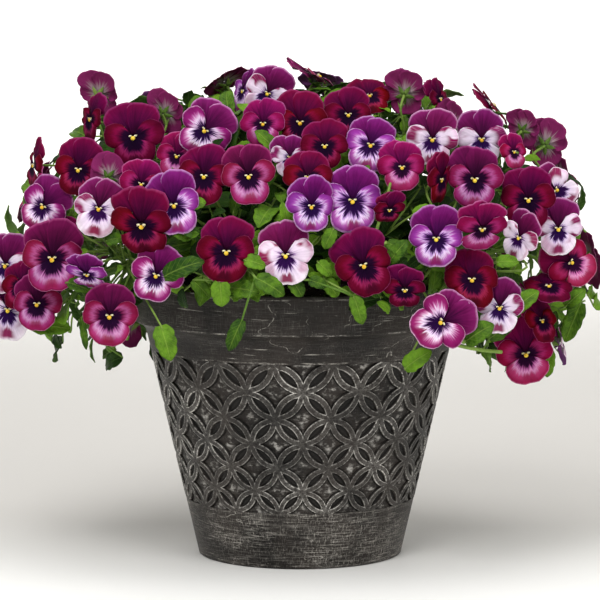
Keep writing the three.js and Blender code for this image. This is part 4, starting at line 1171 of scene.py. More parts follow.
@dataclass
class PottingMix:
    """Peaty mix that fills the pot, lumpy on top, with crumbs of bark lying on it."""

    level: float = 227.0
    dome: float = 7.0
    inset: float = 3.95
    columns: int = 96
    rings: int = 30
    lump_pitch: float = 8.0
    lump_rise: float = 2.2
    fine_rise: float = 0.7
    edge_slope: float = 12.0
    clearance: float = 0.35
    core_radius: float = 0.5
    overlap: float = 0.3
    crumb_count: int = 260
    crumb_reach: float = 138.0
    crumb_size: tuple[float, float] = (1.5, 4.2)
    crumb_sides: int = 6
    crumb_rings: tuple[tuple[float, float], ...] = ((-0.5, 0.55), (0.0, 1.0), (0.45, 0.6))
    seed: int = 5

    def surface(self, x: float, y: float, pot: Pot) -> float:
        """Level of the mix at a place."""
        share = min(1.0, math.hypot(x, y) / (pot.rim_foot_radius - self.inset))
        lumps = math.sin(x / self.lump_pitch) * math.cos(y / self.lump_pitch) * self.lump_rise
        fine = math.sin(x * 0.71 + 2.3 * math.sin(y * 0.37)) * math.sin(y * 0.83 + 1.7 * math.sin(x * 0.29))
        rough = (lumps + self.fine_rise * fine) * smooth_step((1 - share) * self.edge_slope)
        return self.level + self.dome * (1 - share ** 2) + rough

    def build(self, pot: Pot) -> bpy.types.Object:
        """Makes the mix and its crumbs as one piece.

        Args:
            pot: The pot that holds the mix.

        Returns:
            The piece.
        """
        skin = Skin()
        angles = angles_round(self.columns)
        foot = pot.floor + self.clearance
        under = pot.inner_step_level + self.clearance
        profile = [(self.core_radius, foot), (pot.wall_radius(pot.floor) - self.inset, foot),
                   (pot.cove_radius - self.inset, pot.cove_level), (pot.rim_foot_radius - self.inset, under)]
        edge = pot.rim_foot_radius - self.inset + self.overlap
        stack = [[pot.point(radius, a, level) for a in angles] for radius, level in profile]
        for k in range(self.rings):
            radius = edge * (1 - k / self.rings)
            ring = [pot.point(radius, a, 0.0) for a in angles]
            stack.append([(x, y, self.surface(x, y, pot)) for x, y, _ in ring])
        skin.add_rings(stack, "peaty_mix", np.zeros(3))
        draw = Draws(self.seed)
        for _ in range(self.crumb_count):
            self.add_crumb(skin, pot, draw)
        return skin.to_object("mix_surface", ["potting_mix"])

    def add_crumb(self, skin: Skin, pot: Pot, draw: Draws) -> None:
        """Adds one rough crumb of bark that rests in the surface."""
        radius, angle = self.crumb_reach * math.sqrt(draw()), draw.within(0, 2 * math.pi)
        x, y = radius * math.cos(angle), radius * math.sin(angle)
        size = draw.within(*self.crumb_size)
        centre = np.array((x, y, self.surface(x, y, pot) + size * 0.2))
        turn = draw.within(0, 2 * math.pi)
        rows = []
        for level, width in self.crumb_rings:
            ring = []
            for a in turn + angles_round(self.crumb_sides):
                reach = size * width * draw.within(0.75, 1.15)
                ring.append(centre + (reach * math.cos(a), 0.6 * reach * math.sin(a), level * size * 0.8))
            rows.append(ring)
        skin.add_rings(rows, "peaty_mix", np.zeros(3))


@dataclass
class Mound:
    """Round mound that the plants fill, and the point that it is seen from."""

    across: float = 272.0
    deep: float = 200.0
    rise: float = 178.0
    fall: float = 105.0
    level: float = 252.0
    power: float = 2.6
    deep_power: float = 2.0
    eye_distance: float = 3050.0
    eye_height: float = 571.0
    sight_step: float = 2.0
    halvings: int = 24

    @property
    def middle(self) -> np.ndarray:
        """Middle of the mound."""
        return np.array((0.0, 0.0, self.level))

    def on_sight(self, across: float, up: float, depth: float) -> np.ndarray:
        """The point at a depth on the line of sight that meets the axis plane at across and up."""
        share = (self.eye_distance + depth) / self.eye_distance
        return np.array((across * share, depth, self.eye_height + (up - self.eye_height) * share))

    def share(self, point: np.ndarray) -> float:
        """Below 1 inside the mound, above 1 outside."""
        height = point[2] - self.level
        reach = self.rise if height > 0 else self.fall
        return (abs(point[0] / self.across) ** self.power + abs(point[1] / self.deep) ** self.deep_power
                + abs(height / reach) ** self.power)

    def depth(self, across: float, up: float) -> float:
        """Depth at which a line of sight first meets the mound, or passes nearest to it."""
        nearest, lowest = -self.deep, math.inf
        for depth in np.arange(-self.deep, self.deep + self.sight_step, self.sight_step):
            share = self.share(self.on_sight(across, up, depth))
            if share <= 1:
                return float(depth)
            if share < lowest:
                lowest, nearest = share, float(depth)
        return nearest

    def on_surface(self, ray: np.ndarray, share: float) -> np.ndarray:
        """The point where a ray from the middle meets the surface, times a share."""
        near, far = 0.0, self.across * 1.5
        for _ in range(self.halvings):
            half = (near + far) / 2
            if self.share(self.middle + ray * half) < 1:
                near = half
            else:
                far = half
        return self.middle + ray * near * share


@dataclass(frozen=True)
class PetalShape:
    """Outline and relief of one petal at size 1, seen from its face."""

    zone: Zone
    turn: float
    half_span: float
    radius: float
    side_fall: float
    side_power: float
    rim_height: float
    base_height: float
    belly: float
    notch: float = 0.0


PETAL_SHAPES = (
    PetalShape(Zone.UPPER, 332, 44, 29.5, 0.3, 3.6, -7.2, -2.6, 1.8),
    PetalShape(Zone.UPPER, 22, 44, 30.0, 0.3, 3.6, -4.9, -1.8, 1.6),
    PetalShape(Zone.LATERAL, 282, 43, 23.8, 0.4, 2.7, -1.6, -0.3, 1.5),
    PetalShape(Zone.LATERAL, 78, 43, 23.8, 0.4, 2.7, -1.3, -0.1, 1.5),
    PetalShape(Zone.LOWER, 180, 65, 25.6, 0.27, 3.0, 1.5, 0.6, 1.6, 0.06),
)


@dataclass
class Bloom:
    """One pansy: its kind, its place and its own right, up and outward directions."""

    kind: Kind
    eye: np.ndarray
    turn: float
    tilt: float
    roll: float
    size: float
    seed: int = 1
    out: np.ndarray = field(init=False)
    up: np.ndarray = field(init=False)
    right: np.ndarray = field(init=False)

    FIRST_SEED = 1000
    SEED_STEP = 7919
    ROWS = 11
    COLUMNS = 15
    THROAT = 1.6
    THICKNESS = 0.32
    SWAY = 3.0
    STRETCH = (0.96, 1.05)
    NARROWING = 0.06
    HEIGHT_POWER = 1.1
    BELLY = 2.4
    RIPPLE = 1.0
    RIPPLE_POWER = 2.6
    WAVES = (1.6, 2.4)
    SHORT_WAVES = (4.5, 6.5)
    SHORT_SHARE = 0.5
    # Scallops of the edge: depth, how many, and which drawn phase shifts them
    CRENATIONS = ((0.014, 7.0, 0), (0.0098, 15.0, 1), (0.028, 2.6, 3))
    NOTCH_WIDTH = 0.16
    CURL = 2.6
    CURL_SHARES = (-0.35, 0.9)
    CURL_POWER = 5
    CREASE = 1.5
    CREASE_WIDTH = 0.1
    OWN_SHADE = 0.4
    SEED_SPREAD = 0.618
    DOME_SIDES = 10
    DOME_ROWS = 5
    # Middle and radii of the eye and of the two cream patches beside it
    EYE = ((0.0, -0.9, 0.9), (1.9, 1.8, 1.3))
    BEARDS = (((-2.1, 1.1, 0.5), (1.4, 0.75, 0.9)), ((2.1, 1.1, 0.5), (1.4, 0.75, 0.9)))
    HAIRS = 7
    HAIR_WIDTH = 0.3
    CALYX_BACK = 7.0
    # Radius and height of the throat's rings, from the petals back
    THROAT_RINGS = ((5.4, -3.7), (4.0, -4.6), (2.7, -5.8), (1.9, -7.6))
    THROAT_SIDES = 10
    SEPALS = 5
    SEPAL_HALF = 2.3
    SEPAL_LENGTH = 10.5

    def __post_init__(self) -> None:
        """Works out the bloom's own directions."""
        turn, tilt, roll = (math.radians(v) for v in (self.turn, self.tilt, self.roll))
        level = math.cos(tilt)
        self.out = np.array((math.sin(turn) * level, -math.cos(turn) * level, math.sin(tilt)))
        right = unit(np.cross(Z_AXIS, self.out))
        up = np.cross(self.out, right)
        self.up = up * math.cos(roll) + right * math.sin(roll)
        self.right = right * math.cos(roll) - up * math.sin(roll)

    def at(self, x: np.ndarray, y: np.ndarray, height: np.ndarray) -> np.ndarray:
        """Places at size 1 on the bloom's face, carried to where the bloom stands."""
        own = np.stack([np.asarray(v, dtype=float) for v in (x, y, height)], -1) * self.size
        return self.eye + own @ np.array((self.right, self.up, self.out))

    def add_petal(self, skin: Skin, shape: PetalShape, draw: Draws) -> None:
        """Adds one petal as a thin rippled sheet.

        Args:
            skin: Where the petal goes.
            shape: Outline of the petal.
            draw: Draws that make this petal its own.
        """
        across, along = shares_over(self.ROWS, self.COLUMNS)
        swing = shape.turn + draw.within(-self.SWAY, self.SWAY)
        stretch = draw.within(*self.STRETCH)
        phases = [draw.within(0, 2 * math.pi) for _ in range(4)]
        waves = draw.within(*self.WAVES), draw.within(*self.SHORT_WAVES)
        rim = 1 - shape.side_fall * np.abs(across) ** shape.side_power
        rim = rim - shape.notch * np.exp(-(across / self.NOTCH_WIDTH) ** 2)
        rim = rim * (1 + sum(depth * np.sin(across * count + phases[k])
                             for depth, count, k in self.CRENATIONS))
        reach = self.THROAT + (shape.radius * stretch * rim - self.THROAT) * along
        spread = 1 + self.NARROWING * (1 - along)
        angle = np.radians(swing + shape.half_span * across * spread)
        climb = shape.rim_height - shape.base_height
        height = shape.base_height + climb * along ** self.HEIGHT_POWER
        height = height + shape.belly * self.BELLY * along * (1 - along)
        ripple = np.sin(across * math.pi * waves[0] + phases[2])
        ripple = ripple + self.SHORT_SHARE * np.sin(across * math.pi * waves[1] + phases[3])
        height = height + self.RIPPLE * ripple * along ** self.RIPPLE_POWER
        height = height - self.CURL * draw.within(*self.CURL_SHARES) * along ** self.CURL_POWER
        crease = np.exp(-(across / self.CREASE_WIDTH) ** 2)
        height = height - self.CREASE * crease * along * (1 - along)
        x, y = reach * np.sin(angle), reach * np.cos(angle)
        front = self.at(x, y, height)
        back = self.at(x, y, height - self.THICKNESS * (1.2 - 0.5 * along) / self.size)
        seed = self.OWN_SHADE * draw() + (1 - self.OWN_SHADE) * ((self.seed * self.SEED_SPREAD) % 1)
        finish = f"{self.kind.value}_{shape.zone.value}_petal"
        behind = "pale_back" if self.kind in PALE_KINDS else "claret_back"
        add_sheet(skin, front, back, finish, behind, (across, along, seed))

    def add_dome(self, skin: Skin, centre: tuple[float, float, float], radii: tuple[float, float, float],
                 finish: str) -> None:
        """Adds a small rounded lump on the face, such as the eye."""
        angles = angles_round(self.DOME_SIDES)
        levels = np.linspace(-0.35, math.pi / 2 * 0.96, self.DOME_ROWS)[:, None]
        x = centre[0] + radii[0] * np.cos(levels) * np.cos(angles)
        y = centre[1] + radii[1] * np.cos(levels) * np.sin(angles)
        height = np.broadcast_to(centre[2] + radii[2] * np.sin(levels), x.shape)
        skin.add_rings(self.at(x, y, height), finish, np.zeros(3))

    def add_hairs(self, skin: Skin, draw: Draws) -> None:
        """Adds the cream hairs that stand at the inner ends of the side petals."""
        for side in (-1, 1):
            for _ in range(self.HAIRS):
                x = side * draw.within(1.2, 3.4)
                y = draw.within(0.4, 1.9)
                lean = draw.within(-0.9, 0.5)
                foot = self.at(x, y, 0.2)
                tip = self.at(x * 0.75, y + lean, draw.within(2.2, 3.2))
                width = self.HAIR_WIDTH * self.size
                ring = [foot + width * (math.cos(a) * self.right + math.sin(a) * self.up)
                        for a in (0, 2.1, 4.2)]
                faces = [(0, 1, 3), (1, 2, 3), (2, 0, 3), (2, 1, 0)]
                skin.add(np.array([*ring, tip]), faces, "beard_cream", np.zeros(3))

    def add_calyx(self, skin: Skin, seed: float) -> None:
        """Adds the throat behind the petals and the five green sepals."""
        angles = angles_round(self.THROAT_SIDES)
        rings = [self.at(radius * np.cos(angles), radius * np.sin(angles), np.full(len(angles), height))
                 for radius, height in self.THROAT_RINGS]
        skin.add_rings(rings, "throat_mauve", np.array((0.2, 0.2, seed)), flip=True)
        across, along = shares_over(6, 3)
        across = -across
        half = self.SEPAL_HALF * np.sin(math.pi * (0.12 + 0.88 * along) ** 0.8) + 0.05
        reach = 1.2 + self.SEPAL_LENGTH * along
        height = -self.CALYX_BACK - 0.4 + 3.6 * along - 0.5 * np.abs(across) + 1.2 * along ** 2
        for k in range(self.SEPALS):
            angle = (k + 0.5) * 2 * math.pi / self.SEPALS
            x = reach * math.sin(angle) + half * across * math.cos(angle)
            y = reach * math.cos(angle) - half * across * math.sin(angle)
            front, back = self.at(x, y, height), self.at(x, y, height - 0.5)
            add_sheet(skin, front, back, "stem_green", "stem_green", (across, along, seed))

    def build(self, skin: Skin) -> None:
        """Adds the petals, the eye, the hairs and the calyx."""
        draw = Draws(self.FIRST_SEED + self.SEED_STEP * self.seed)
        for shape in PETAL_SHAPES:
            self.add_petal(skin, shape, draw)
        self.add_dome(skin, *self.EYE, "eye_yellow")
        for beard in self.BEARDS:
            self.add_dome(skin, *beard, "beard_cream")
        self.add_hairs(skin, draw)
        self.add_calyx(skin, draw())


@dataclass
class Leaf:
    """One leaf on its thin stalk: an arched blade with a scalloped edge."""

    start: np.ndarray
    foot: np.ndarray
    tip: np.ndarray
    upper: np.ndarray
    width: float
    seed: float
    finish: str = "leaf_green"
    behind: Optional[np.ndarray] = None

    ROWS = 12
    COLUMNS = 7
    ARCH = 0.1
    FOLD = 0.12
    # Fullness of the blade from foot to tip, and how much it narrows
    FULLNESS = (0.8, 2.5, 0.56)
    NARROWING = 0.06
    SCALLOPS = 3.67
    SCALLOP_SHARE = 0.13
    THICKNESS = 0.45
    RUFFLE = 0.035
    PETIOLE = 0.95
    PETIOLE_BEND = 0.55
    PETIOLE_LIFT = 0.06
    PETIOLE_INTO_BLADE = 0.12

    def build(self, skin: Skin) -> None:
        """Adds the blade and the stalk."""
        length = float(np.linalg.norm(self.tip - self.foot))
        along = unit(self.tip - self.foot)
        side = unit(np.cross(self.upper, along))
        up = np.cross(along, side)
        across, share = shares_over(self.ROWS, self.COLUMNS)
        shift, power, swell = self.FULLNESS
        outline = (1 - np.abs(2 * (0.03 + 0.965 * share) ** shift - 1) ** power) ** swell
        outline = outline * (1 - self.NARROWING * share)
        teeth = 1 - self.SCALLOP_SHARE * np.abs(np.sin(math.pi * share * self.SCALLOPS + 0.4)) ** 2
        half = 0.5 * self.width * outline * teeth * across
        rise = self.ARCH * length * (share - share ** 2) * 4
        rise = rise + np.abs(across) * outline * self.width * self.FOLD
        rise = rise + self.RUFFLE * self.width * np.sin(share * 17 + self.seed * 9) * across ** 2
        spread = share[..., None] * length * along + half[..., None] * side + rise[..., None] * up
        front = self.foot + spread
        back = front - up * self.THICKNESS
        add_sheet(skin, front, back, self.finish, "leaf_back", (across, share, self.seed))
        bend = self.behind
        if bend is None:
            bend = self.start + (self.foot - self.start) * self.PETIOLE_BEND
            bend = bend + up * self.PETIOLE_LIFT * length
        end = self.foot + along * length * self.PETIOLE_INTO_BLADE
        stalk = curve_through([self.start, bend, self.foot, end], 2)
        radii = np.linspace(1.25, 0.6, len(stalk)) * self.PETIOLE
        add_tube(skin, stalk, radii, "stem_green", self.seed, sides=5)


@dataclass
class Stem:
    """One leafy stem: it rises out of the mix and arches out under the mound's surface."""

    number: int
    tip: np.ndarray
    shoots: tuple[float, float]
    leaf_turns: tuple[int, ...]
    leaves: list[Leaf] = field(default_factory=list)
    stalks: list[tuple[np.ndarray, float]] = field(default_factory=list)
    path: np.ndarray = field(init=False)
    lengths: np.ndarray = field(init=False)
    joints: list[tuple[np.ndarray, float]] = field(init=False)

    MIX_LEVEL = 227.0
    HOLE_DEPTH = 14.0
    ROOT_SHARE = 0.42
    RISE_OUT = 0.5
    RISE_SHARE = 0.75
    BEND_OUT = 0.8
    BEND_LIFT = 14.0
    RIM_CROSSING = 276.0
    RADIUS = 1.9
    STEPS = 28
    FIRST_JOINT = 0.35
    JOINTS = 14
    TWIG_COST = 0.45
    NEAR = 0.02

    def __post_init__(self) -> None:
        """Works out the points along the stem."""
        x, y, z = self.tip
        shoulder = max(z, self.RIM_CROSSING)
        level = self.MIX_LEVEL + self.RISE_SHARE * (shoulder - self.MIX_LEVEL)
        ends = np.array([(x * self.ROOT_SHARE, y * self.ROOT_SHARE, self.MIX_LEVEL - self.HOLE_DEPTH),
                         (x * self.RISE_OUT, y * self.RISE_OUT, level),
                         (x * self.BEND_OUT, y * self.BEND_OUT, shoulder + self.BEND_LIFT), (x, y, z)])
        t = np.linspace(0, 1, self.STEPS)[:, None]
        self.path = ((1 - t) ** 3 * ends[0] + 3 * t * (1 - t) ** 2 * ends[1]
                     + 3 * t * t * (1 - t) * ends[2] + t ** 3 * ends[3])
        steps = np.linalg.norm(np.diff(self.path, axis=0), axis=1)
        self.lengths = np.concatenate([[0], np.cumsum(steps)]) / steps.sum()
        self.joints = [(self.at(share), 0.0) for share in np.linspace(self.FIRST_JOINT, 1, self.JOINTS)]

    def at(self, share: float) -> np.ndarray:
        """The point at a share of the stem's length."""
        return np.array([np.interp(share, self.lengths, self.path[:, k]) for k in range(3)])

    def along(self, share: float) -> np.ndarray:
        """The stem's direction at a share of its length."""
        return unit(self.at(min(1.0, share + self.NEAR)) - self.at(max(0.0, share - self.NEAR)))

    def branch_to(self, foot: np.ndarray) -> np.ndarray:
        """The best place to branch from, on the stem or at another leaf, for a leaf with this foot."""

        def cost(joint: tuple[np.ndarray, float]) -> float:
            """Distance from a joint, and part of the way back from it to the stem."""
            return float(np.linalg.norm(joint[0] - foot)) + self.TWIG_COST * joint[1]

        start, behind = min(self.joints, key=cost)
        self.joints.append((foot, behind + float(np.linalg.norm(start - foot))))
        return start

    def build(self) -> bpy.types.Object:
        """Makes the stem and its leaves as one piece."""
        skin = Skin()
        radii = np.linspace(1.25, 0.75, len(self.path)) * self.RADIUS
        add_tube(skin, self.path, radii, "stem_green", 0.4, sides=8)
        for leaf in self.leaves:
            leaf.build(skin)
        for path, radius in self.stalks:
            add_tube(skin, path, np.linspace(1.1, 0.85, len(path)) * radius, "stem_green", 0.7, sides=7)
        name = f"leafy_stem_{self.number:02d}"
        return skin.to_object(f"{name}_foliage", [name])


@dataclass
class Spray:
    """Blooms of one stem and one tone on a side shoot, with a stalk to each."""

    stem: Stem
    pale: bool
    blooms: list[Bloom]

    TAPER = (1.15, 1.0)
    AIM = 22.0
    FIRST = 4.0
    PITCH = 4.5
    SHOOT_RADIUS = 1.7
    STALK_RADIUS = 1.05
    HOOK = 11.0
    LEAN = 0.22
    DROP = 36.0
    STRAIGHT_BACK = 2.3
    STRAIGHT = 3.0
    BRACT = 7.0
    BRACT_HALF = 0.9
    BRACT_THICKNESS = 0.35

    def stalk(self, bloom: Bloom, joint: np.ndarray) -> np.ndarray:
        """Points of a stalk: straight back from the bloom, then over to its joint."""
        back = bloom.eye - bloom.out * bloom.CALYX_BACK * bloom.size
        to_joint = joint - back
        if angle_between(unit(to_joint), bloom.out) > self.STRAIGHT_BACK:
            return curve_through([back, back - bloom.out * self.STRAIGHT, joint], 6)
        hook = back - bloom.out * self.HOOK + to_joint * self.LEAN
        if float(np.dot(bloom.out, to_joint)) <= 0:
            return curve_through([back, hook, joint], 7)
        under = bloom.eye - bloom.out * self.HOOK / 2 - Z_AXIS * self.DROP * bloom.size
        return curve_through([back, hook, under, joint], 6)

    def build(self) -> bpy.types.Object:
        """Makes the blooms with their stalks and side shoot as one piece."""
        skin = Skin()
        middle = np.mean([b.eye - b.out * self.AIM for b in self.blooms], axis=0)
        start = self.stem.at(self.stem.shoots[1 if self.pale else 0])
        toward = unit(middle - start)
        start = start + toward * self.stem.RADIUS
        ordered = sorted(self.blooms, key=lambda b: -angle_between(unit(b.eye - start), toward))
        first = self.FIRST if len(ordered) > 1 else 0.0
        for k, bloom in enumerate(ordered):
            bloom.build(skin)
            joint = start + toward * (first + k * self.PITCH)
            path = self.stalk(bloom, joint)
            radii = np.linspace(*self.TAPER, len(path)) * self.STALK_RADIUS
            add_tube(skin, path, radii, "stem_green", 0.5 + 0.05 * (k % 4), sides=6)
            self.add_bracts(skin, path)
        end = start + toward * (first + (len(ordered) - 1) * self.PITCH + self.SHOOT_RADIUS)
        foot = start - toward * self.stem.RADIUS
        shoot = np.array([foot + (end - start) * t for t in np.linspace(0, 1, 5)])
        add_tube(skin, shoot, [self.SHOOT_RADIUS] * 5, "stem_green", 0.45, sides=8)
        tone = "pale" if self.pale else "claret"
        name = f"{tone}_blooms_{self.stem.number:02d}"
        return skin.to_object(f"{name}_petals", [name])

    def add_bracts(self, skin: Skin, path: np.ndarray) -> None:
        """Adds the two small pointed bracts that stand on a stalk."""
        spot = path[len(path) // 3]
        along = unit(path[len(path) // 3 - 1] - spot)
        side = unit(np.cross(along, Z_AXIS + np.array((0.0, 0.3, 0.0))))
        lift = unit(np.cross(side, along))
        across, share = shares_over(4, 3)
        half = self.BRACT_HALF * (1 - share) ** 0.6 * across
        for sign in (-1, 1):
            reach = along * self.BRACT + side * sign * self.BRACT * 0.5
            points = spot + share[..., None] * reach + half[..., None] * np.cross(lift, unit(reach))
            back = points - lift * self.BRACT_THICKNESS
            add_sheet(skin, points, back, "stem_green", "stem_green", (across, share, 0.6))


@dataclass(frozen=True)
class LeafLayer:
    """Many small leaves, spread evenly at one depth of the mound."""

    points: int
    seed: int
    front_reach: tuple[float, float]
    back_reach: tuple[float, float]
    length: tuple[float, float]
    clear: float
    finish: str
    lowest: float = -0.62
    foremost: float = -1.0
    hindmost: float = 1.0


LEAF_LAYERS = (
    # The innermost layer wears the darker green as painted shade deep inside the mound; in each layer some
    # leaves also take it at random as their own tone.
    LeafLayer(360, 31, (0.42, 0.64), (0.45, 0.72), (32, 52), 16.0, "deep_leaf", -0.45),
    LeafLayer(680, 97, (0.64, 0.92), (0.74, 0.99), (20, 36), 15.0, "leaf_green"),
    LeafLayer(560, 59, (0.7, 0.9), (0.7, 0.96), (22, 38), 15.0, "leaf_green", -0.6, -0.25),
    LeafLayer(420, 71, (0.84, 0.95), (0.84, 0.95), (13, 22), 13.0, "leaf_green", -0.35, -1.0, -0.35),
)


@dataclass
class Planting:
    """All the plants: where every bloom, spray and leaf goes."""

    mound: Mound = field(default_factory=Mound)
    layer_reach: float = 42.0
    layer_step: float = 15.0
    layer_slope: float = 1.6
    rule_points: int = 150
    rule_spacing: float = 66.0
    rule_lowest: float = -0.3
    rule_front: float = -10.0
    rule_seed: int = 41
    rule_reach: tuple[float, float] = (0.93, 1.0)
    rule_sway: float = 20.0
    rule_roll: float = 30.0
    rule_size: tuple[float, float] = (0.82, 1.12)
    rule_tilt: float = 8.0
    crown_tilt: float = 42.0
    rule_numbers: int = 100
    leaf_width: float = 25.0
    leaf_growth: tuple[float, float] = (0.85, 1.15)
    leaf_length: float = 66.0
    lowest_leaf: float = 0.5
    leaf_stretch: float = 0.46
    leaf_shortest: float = 24.0
    leaf_step: float = 3.0
    leaf_lean: float = 0.45
    leaf_facing: float = 0.6
    leaf_level: float = 0.9
    petiole_share: float = 0.3
    darkest: float = 0.05
    shade_spread: float = 0.7
    shade_step: float = 0.37
    tip_lift: float = 0.3
    tuck: float = 24.0
    tuck_above: float = 254.0
    tuck_beyond: float = 165.0
    small_lean: tuple[float, float] = (0.12, 0.66)
    small_width: tuple[float, float] = (0.46, 0.62)
    small_lift: float = 0.15
    front_ray: float = -0.1
    pot_reach: float = 158.0
    pot_top: float = 252.0
    before_reach: float = 168.0
    before_top: float = 238.0
    lowest_foot: float = 170.0
    deep_share: float = 0.3
    stems: list[Stem] = field(default_factory=list)

    RULE_KINDS = (Kind.CLARET, Kind.CLARET, Kind.CLARET, Kind.ROSE, Kind.DUSKY, Kind.WHITE, Kind.VIOLET,
                  Kind.PICOTEE)

    def front_blooms(self) -> list[Bloom]:
        """Front blooms, each far enough before those behind it that they do not cross."""
        rows = [[*row, self.mound.depth(row[1], row[2]) - row[7], k] for k, row in enumerate(FRONT_BLOOMS)]
        rows.sort(key=lambda row: -row[8])
        for k, row in enumerate(rows):
            for other in rows[:k]:
                apart = math.hypot(row[1] - other[1], row[2] - other[2])
                reach = self.layer_reach * (row[6] + other[6]) / 2
                if apart < reach:
                    clear = other[8] - self.layer_step * min(1.0, self.layer_slope * (1 - apart / reach))
                    row[8] = min(row[8], clear)
        return [Bloom(Kind(kind), self.mound.on_sight(across, up, depth), turn, tilt, roll, size, seed)
                for kind, across, up, turn, tilt, roll, size, _, depth, seed in rows]

    def rays(self, count: int, lowest: float) -> Iterator[np.ndarray]:
        """Even directions round the mound from its top down to a lowest height."""
        for k in range(count):
            high = 1 - (k + 0.5) / count * (1 - lowest)
            angle = k * GOLDEN_ANGLE
            flat = math.sqrt(1 - high * high)
            yield np.array((math.cos(angle) * flat, math.sin(angle) * flat, high))

    def rule_blooms(self, placed: Sequence[Bloom]) -> list[Bloom]:
        """Blooms over the crown and the back, less those too near another."""
        draw = Draws(self.rule_seed)
        blooms: list[Bloom] = []
        for k, ray in enumerate(self.rays(self.rule_points, self.rule_lowest)):
            eye = self.mound.on_surface(ray, draw.within(*self.rule_reach))
            kind = self.RULE_KINDS[int(draw() * len(self.RULE_KINDS))]
            sway = draw.within(-self.rule_sway, self.rule_sway)
            roll = draw.within(-self.rule_roll, self.rule_roll)
            size = draw.within(*self.rule_size)
            turn = math.degrees(math.atan2(ray[0], -ray[1])) + sway
            tilt = self.rule_tilt + self.crown_tilt * max(0.0, ray[2])
            taken = any(np.linalg.norm(b.eye - eye) < self.rule_spacing for b in [*placed, *blooms])
            if eye[1] > self.rule_front and not taken:
                blooms.append(Bloom(kind, eye, turn, tilt, roll, size, self.rule_numbers + k))
        return blooms

    def nearest_stem(self, point: np.ndarray) -> Stem:
        """The stem whose tip is nearest to a point."""
        return min(self.stems, key=lambda stem: float(np.linalg.norm(stem.tip - point)))

    def add_stem_leaves(self, stem: Stem) -> None:
        """Adds the leaves up a stem, each turned about it and kept inside the mound."""
        draw = Draws(stem.number)
        count = len(stem.leaf_turns)
        for k, turn in enumerate(stem.leaf_turns):
            place = self.lowest_leaf + self.leaf_stretch * (k + 0.5) / count
            start, along = stem.at(place), stem.along(place)
            outward = unit(start - self.mound.middle)
            side = unit(np.cross(along, outward))
            lift = np.cross(side, along)
            angle = math.radians(turn)
            ray = side * math.cos(angle) + lift * math.sin(angle)
            ray = unit(ray + along * self.leaf_lean + outward * self.leaf_lean)
            width = self.leaf_width * draw.within(*self.leaf_growth)
            length = self.leaf_length * draw.within(*self.leaf_growth)
            while length > self.leaf_shortest and self.mound.share(start + ray * length) > self.leaf_level:
                length -= self.leaf_step
            upper = unit(outward + Z_AXIS * self.leaf_facing)
            foot = start + ray * length * self.petiole_share
            stem.leaves.append(Leaf(start, foot, start + ray * length, upper, width, draw()))

    def add_front_leaves(self) -> None:
        """Adds the leaves that show in front, each on a stalk from the nearest stem."""
        for k, (across, up, tip_across, tip_up, width, lift) in enumerate(FRONT_LEAVES):
            foot = self.mound.on_sight(across, up, self.mound.depth(across, up) - lift)
            tip = self.mound.on_sight(tip_across, tip_up, foot[1] - lift * self.tip_lift)
            stem = self.nearest_stem(foot)
            start = stem.branch_to(foot)
            upper = unit(np.array((0.0, -1.0, 0.5)))
            seed = self.darkest + self.shade_spread * ((k * self.shade_step) % 1)
            leaf = Leaf(start, foot, tip, upper, width, seed)
            if up > self.tuck_above or abs(across) > self.tuck_beyond:
                leaf.behind = self.mound.on_sight(across, up, foot[1] + self.tuck)
            stem.leaves.append(leaf)

    def add_shown_stalks(self) -> None:
        """Adds the bare stalks that show in front, each grown from the nearest stem."""
        for places, radius, lift in SHOWN_STALKS:
            shown = [self.mound.on_sight(across, up, self.mound.depth(across, up) - lift)
                     for across, up in places]
            stem = self.nearest_stem(shown[0])
            stem.stalks.append((curve_through([stem.branch_to(shown[0]), *shown], 5), radius))

    def out_of_place(self, foot: np.ndarray, tip: np.ndarray) -> bool:
        """Whether a leaf would cover the pot, hang before it or stand out of the mound."""
        low = min(tip[2], foot[2])
        over_pot = math.hypot(tip[0], tip[1]) < self.pot_reach and low < self.pot_top
        before_pot = abs(tip[0]) < self.before_reach and tip[1] < 0 and low < self.before_top
        outside = self.mound.share(tip) > 1.0 or self.mound.share(foot) > 0.97
        return over_pot or before_pot or outside or foot[2] < self.lowest_foot

    def add_leaf_layer(self, layer: LeafLayer, blooms: Sequence[Bloom]) -> None:
        """Adds one layer of the leaves that fill the mound under and between the blooms.

        Args:
            layer: How many leaves, how deep and how large.
            blooms: Blooms that the leaves keep clear of.
        """
        draw = Draws(layer.seed)
        eyes = np.array([b.eye for b in blooms])
        for ray in self.rays(layer.points, layer.lowest):
            if not layer.foremost <= ray[1] <= layer.hindmost:
                continue
            reach = draw.within(*(layer.front_reach if ray[1] < self.front_ray else layer.back_reach))
            lean = draw.within(*self.small_lean)
            swing = draw.within(-math.pi, math.pi)
            length = draw.within(*layer.length)
            width = length * draw.within(*self.small_width)
            seed = draw()
            foot = self.mound.on_surface(ray, reach)
            flat = unit(np.cross(ray, Z_AXIS))
            other = np.cross(ray, flat)
            heading = flat * math.cos(swing) + other * math.sin(swing)
            heading = unit(ray * lean + heading + Z_AXIS * self.small_lift)
            tip = foot + heading * length
            gap = np.linalg.norm(eyes - (foot + tip) / 2, axis=1).min()
            if gap < layer.clear or self.out_of_place(foot, tip):
                continue
            stem = self.nearest_stem(foot)
            start = stem.branch_to(foot)
            finish = "deep_leaf" if seed < self.deep_share else layer.finish
            stem.leaves.append(Leaf(start, foot, tip, unit(ray + Z_AXIS * 0.5), width, seed, finish))

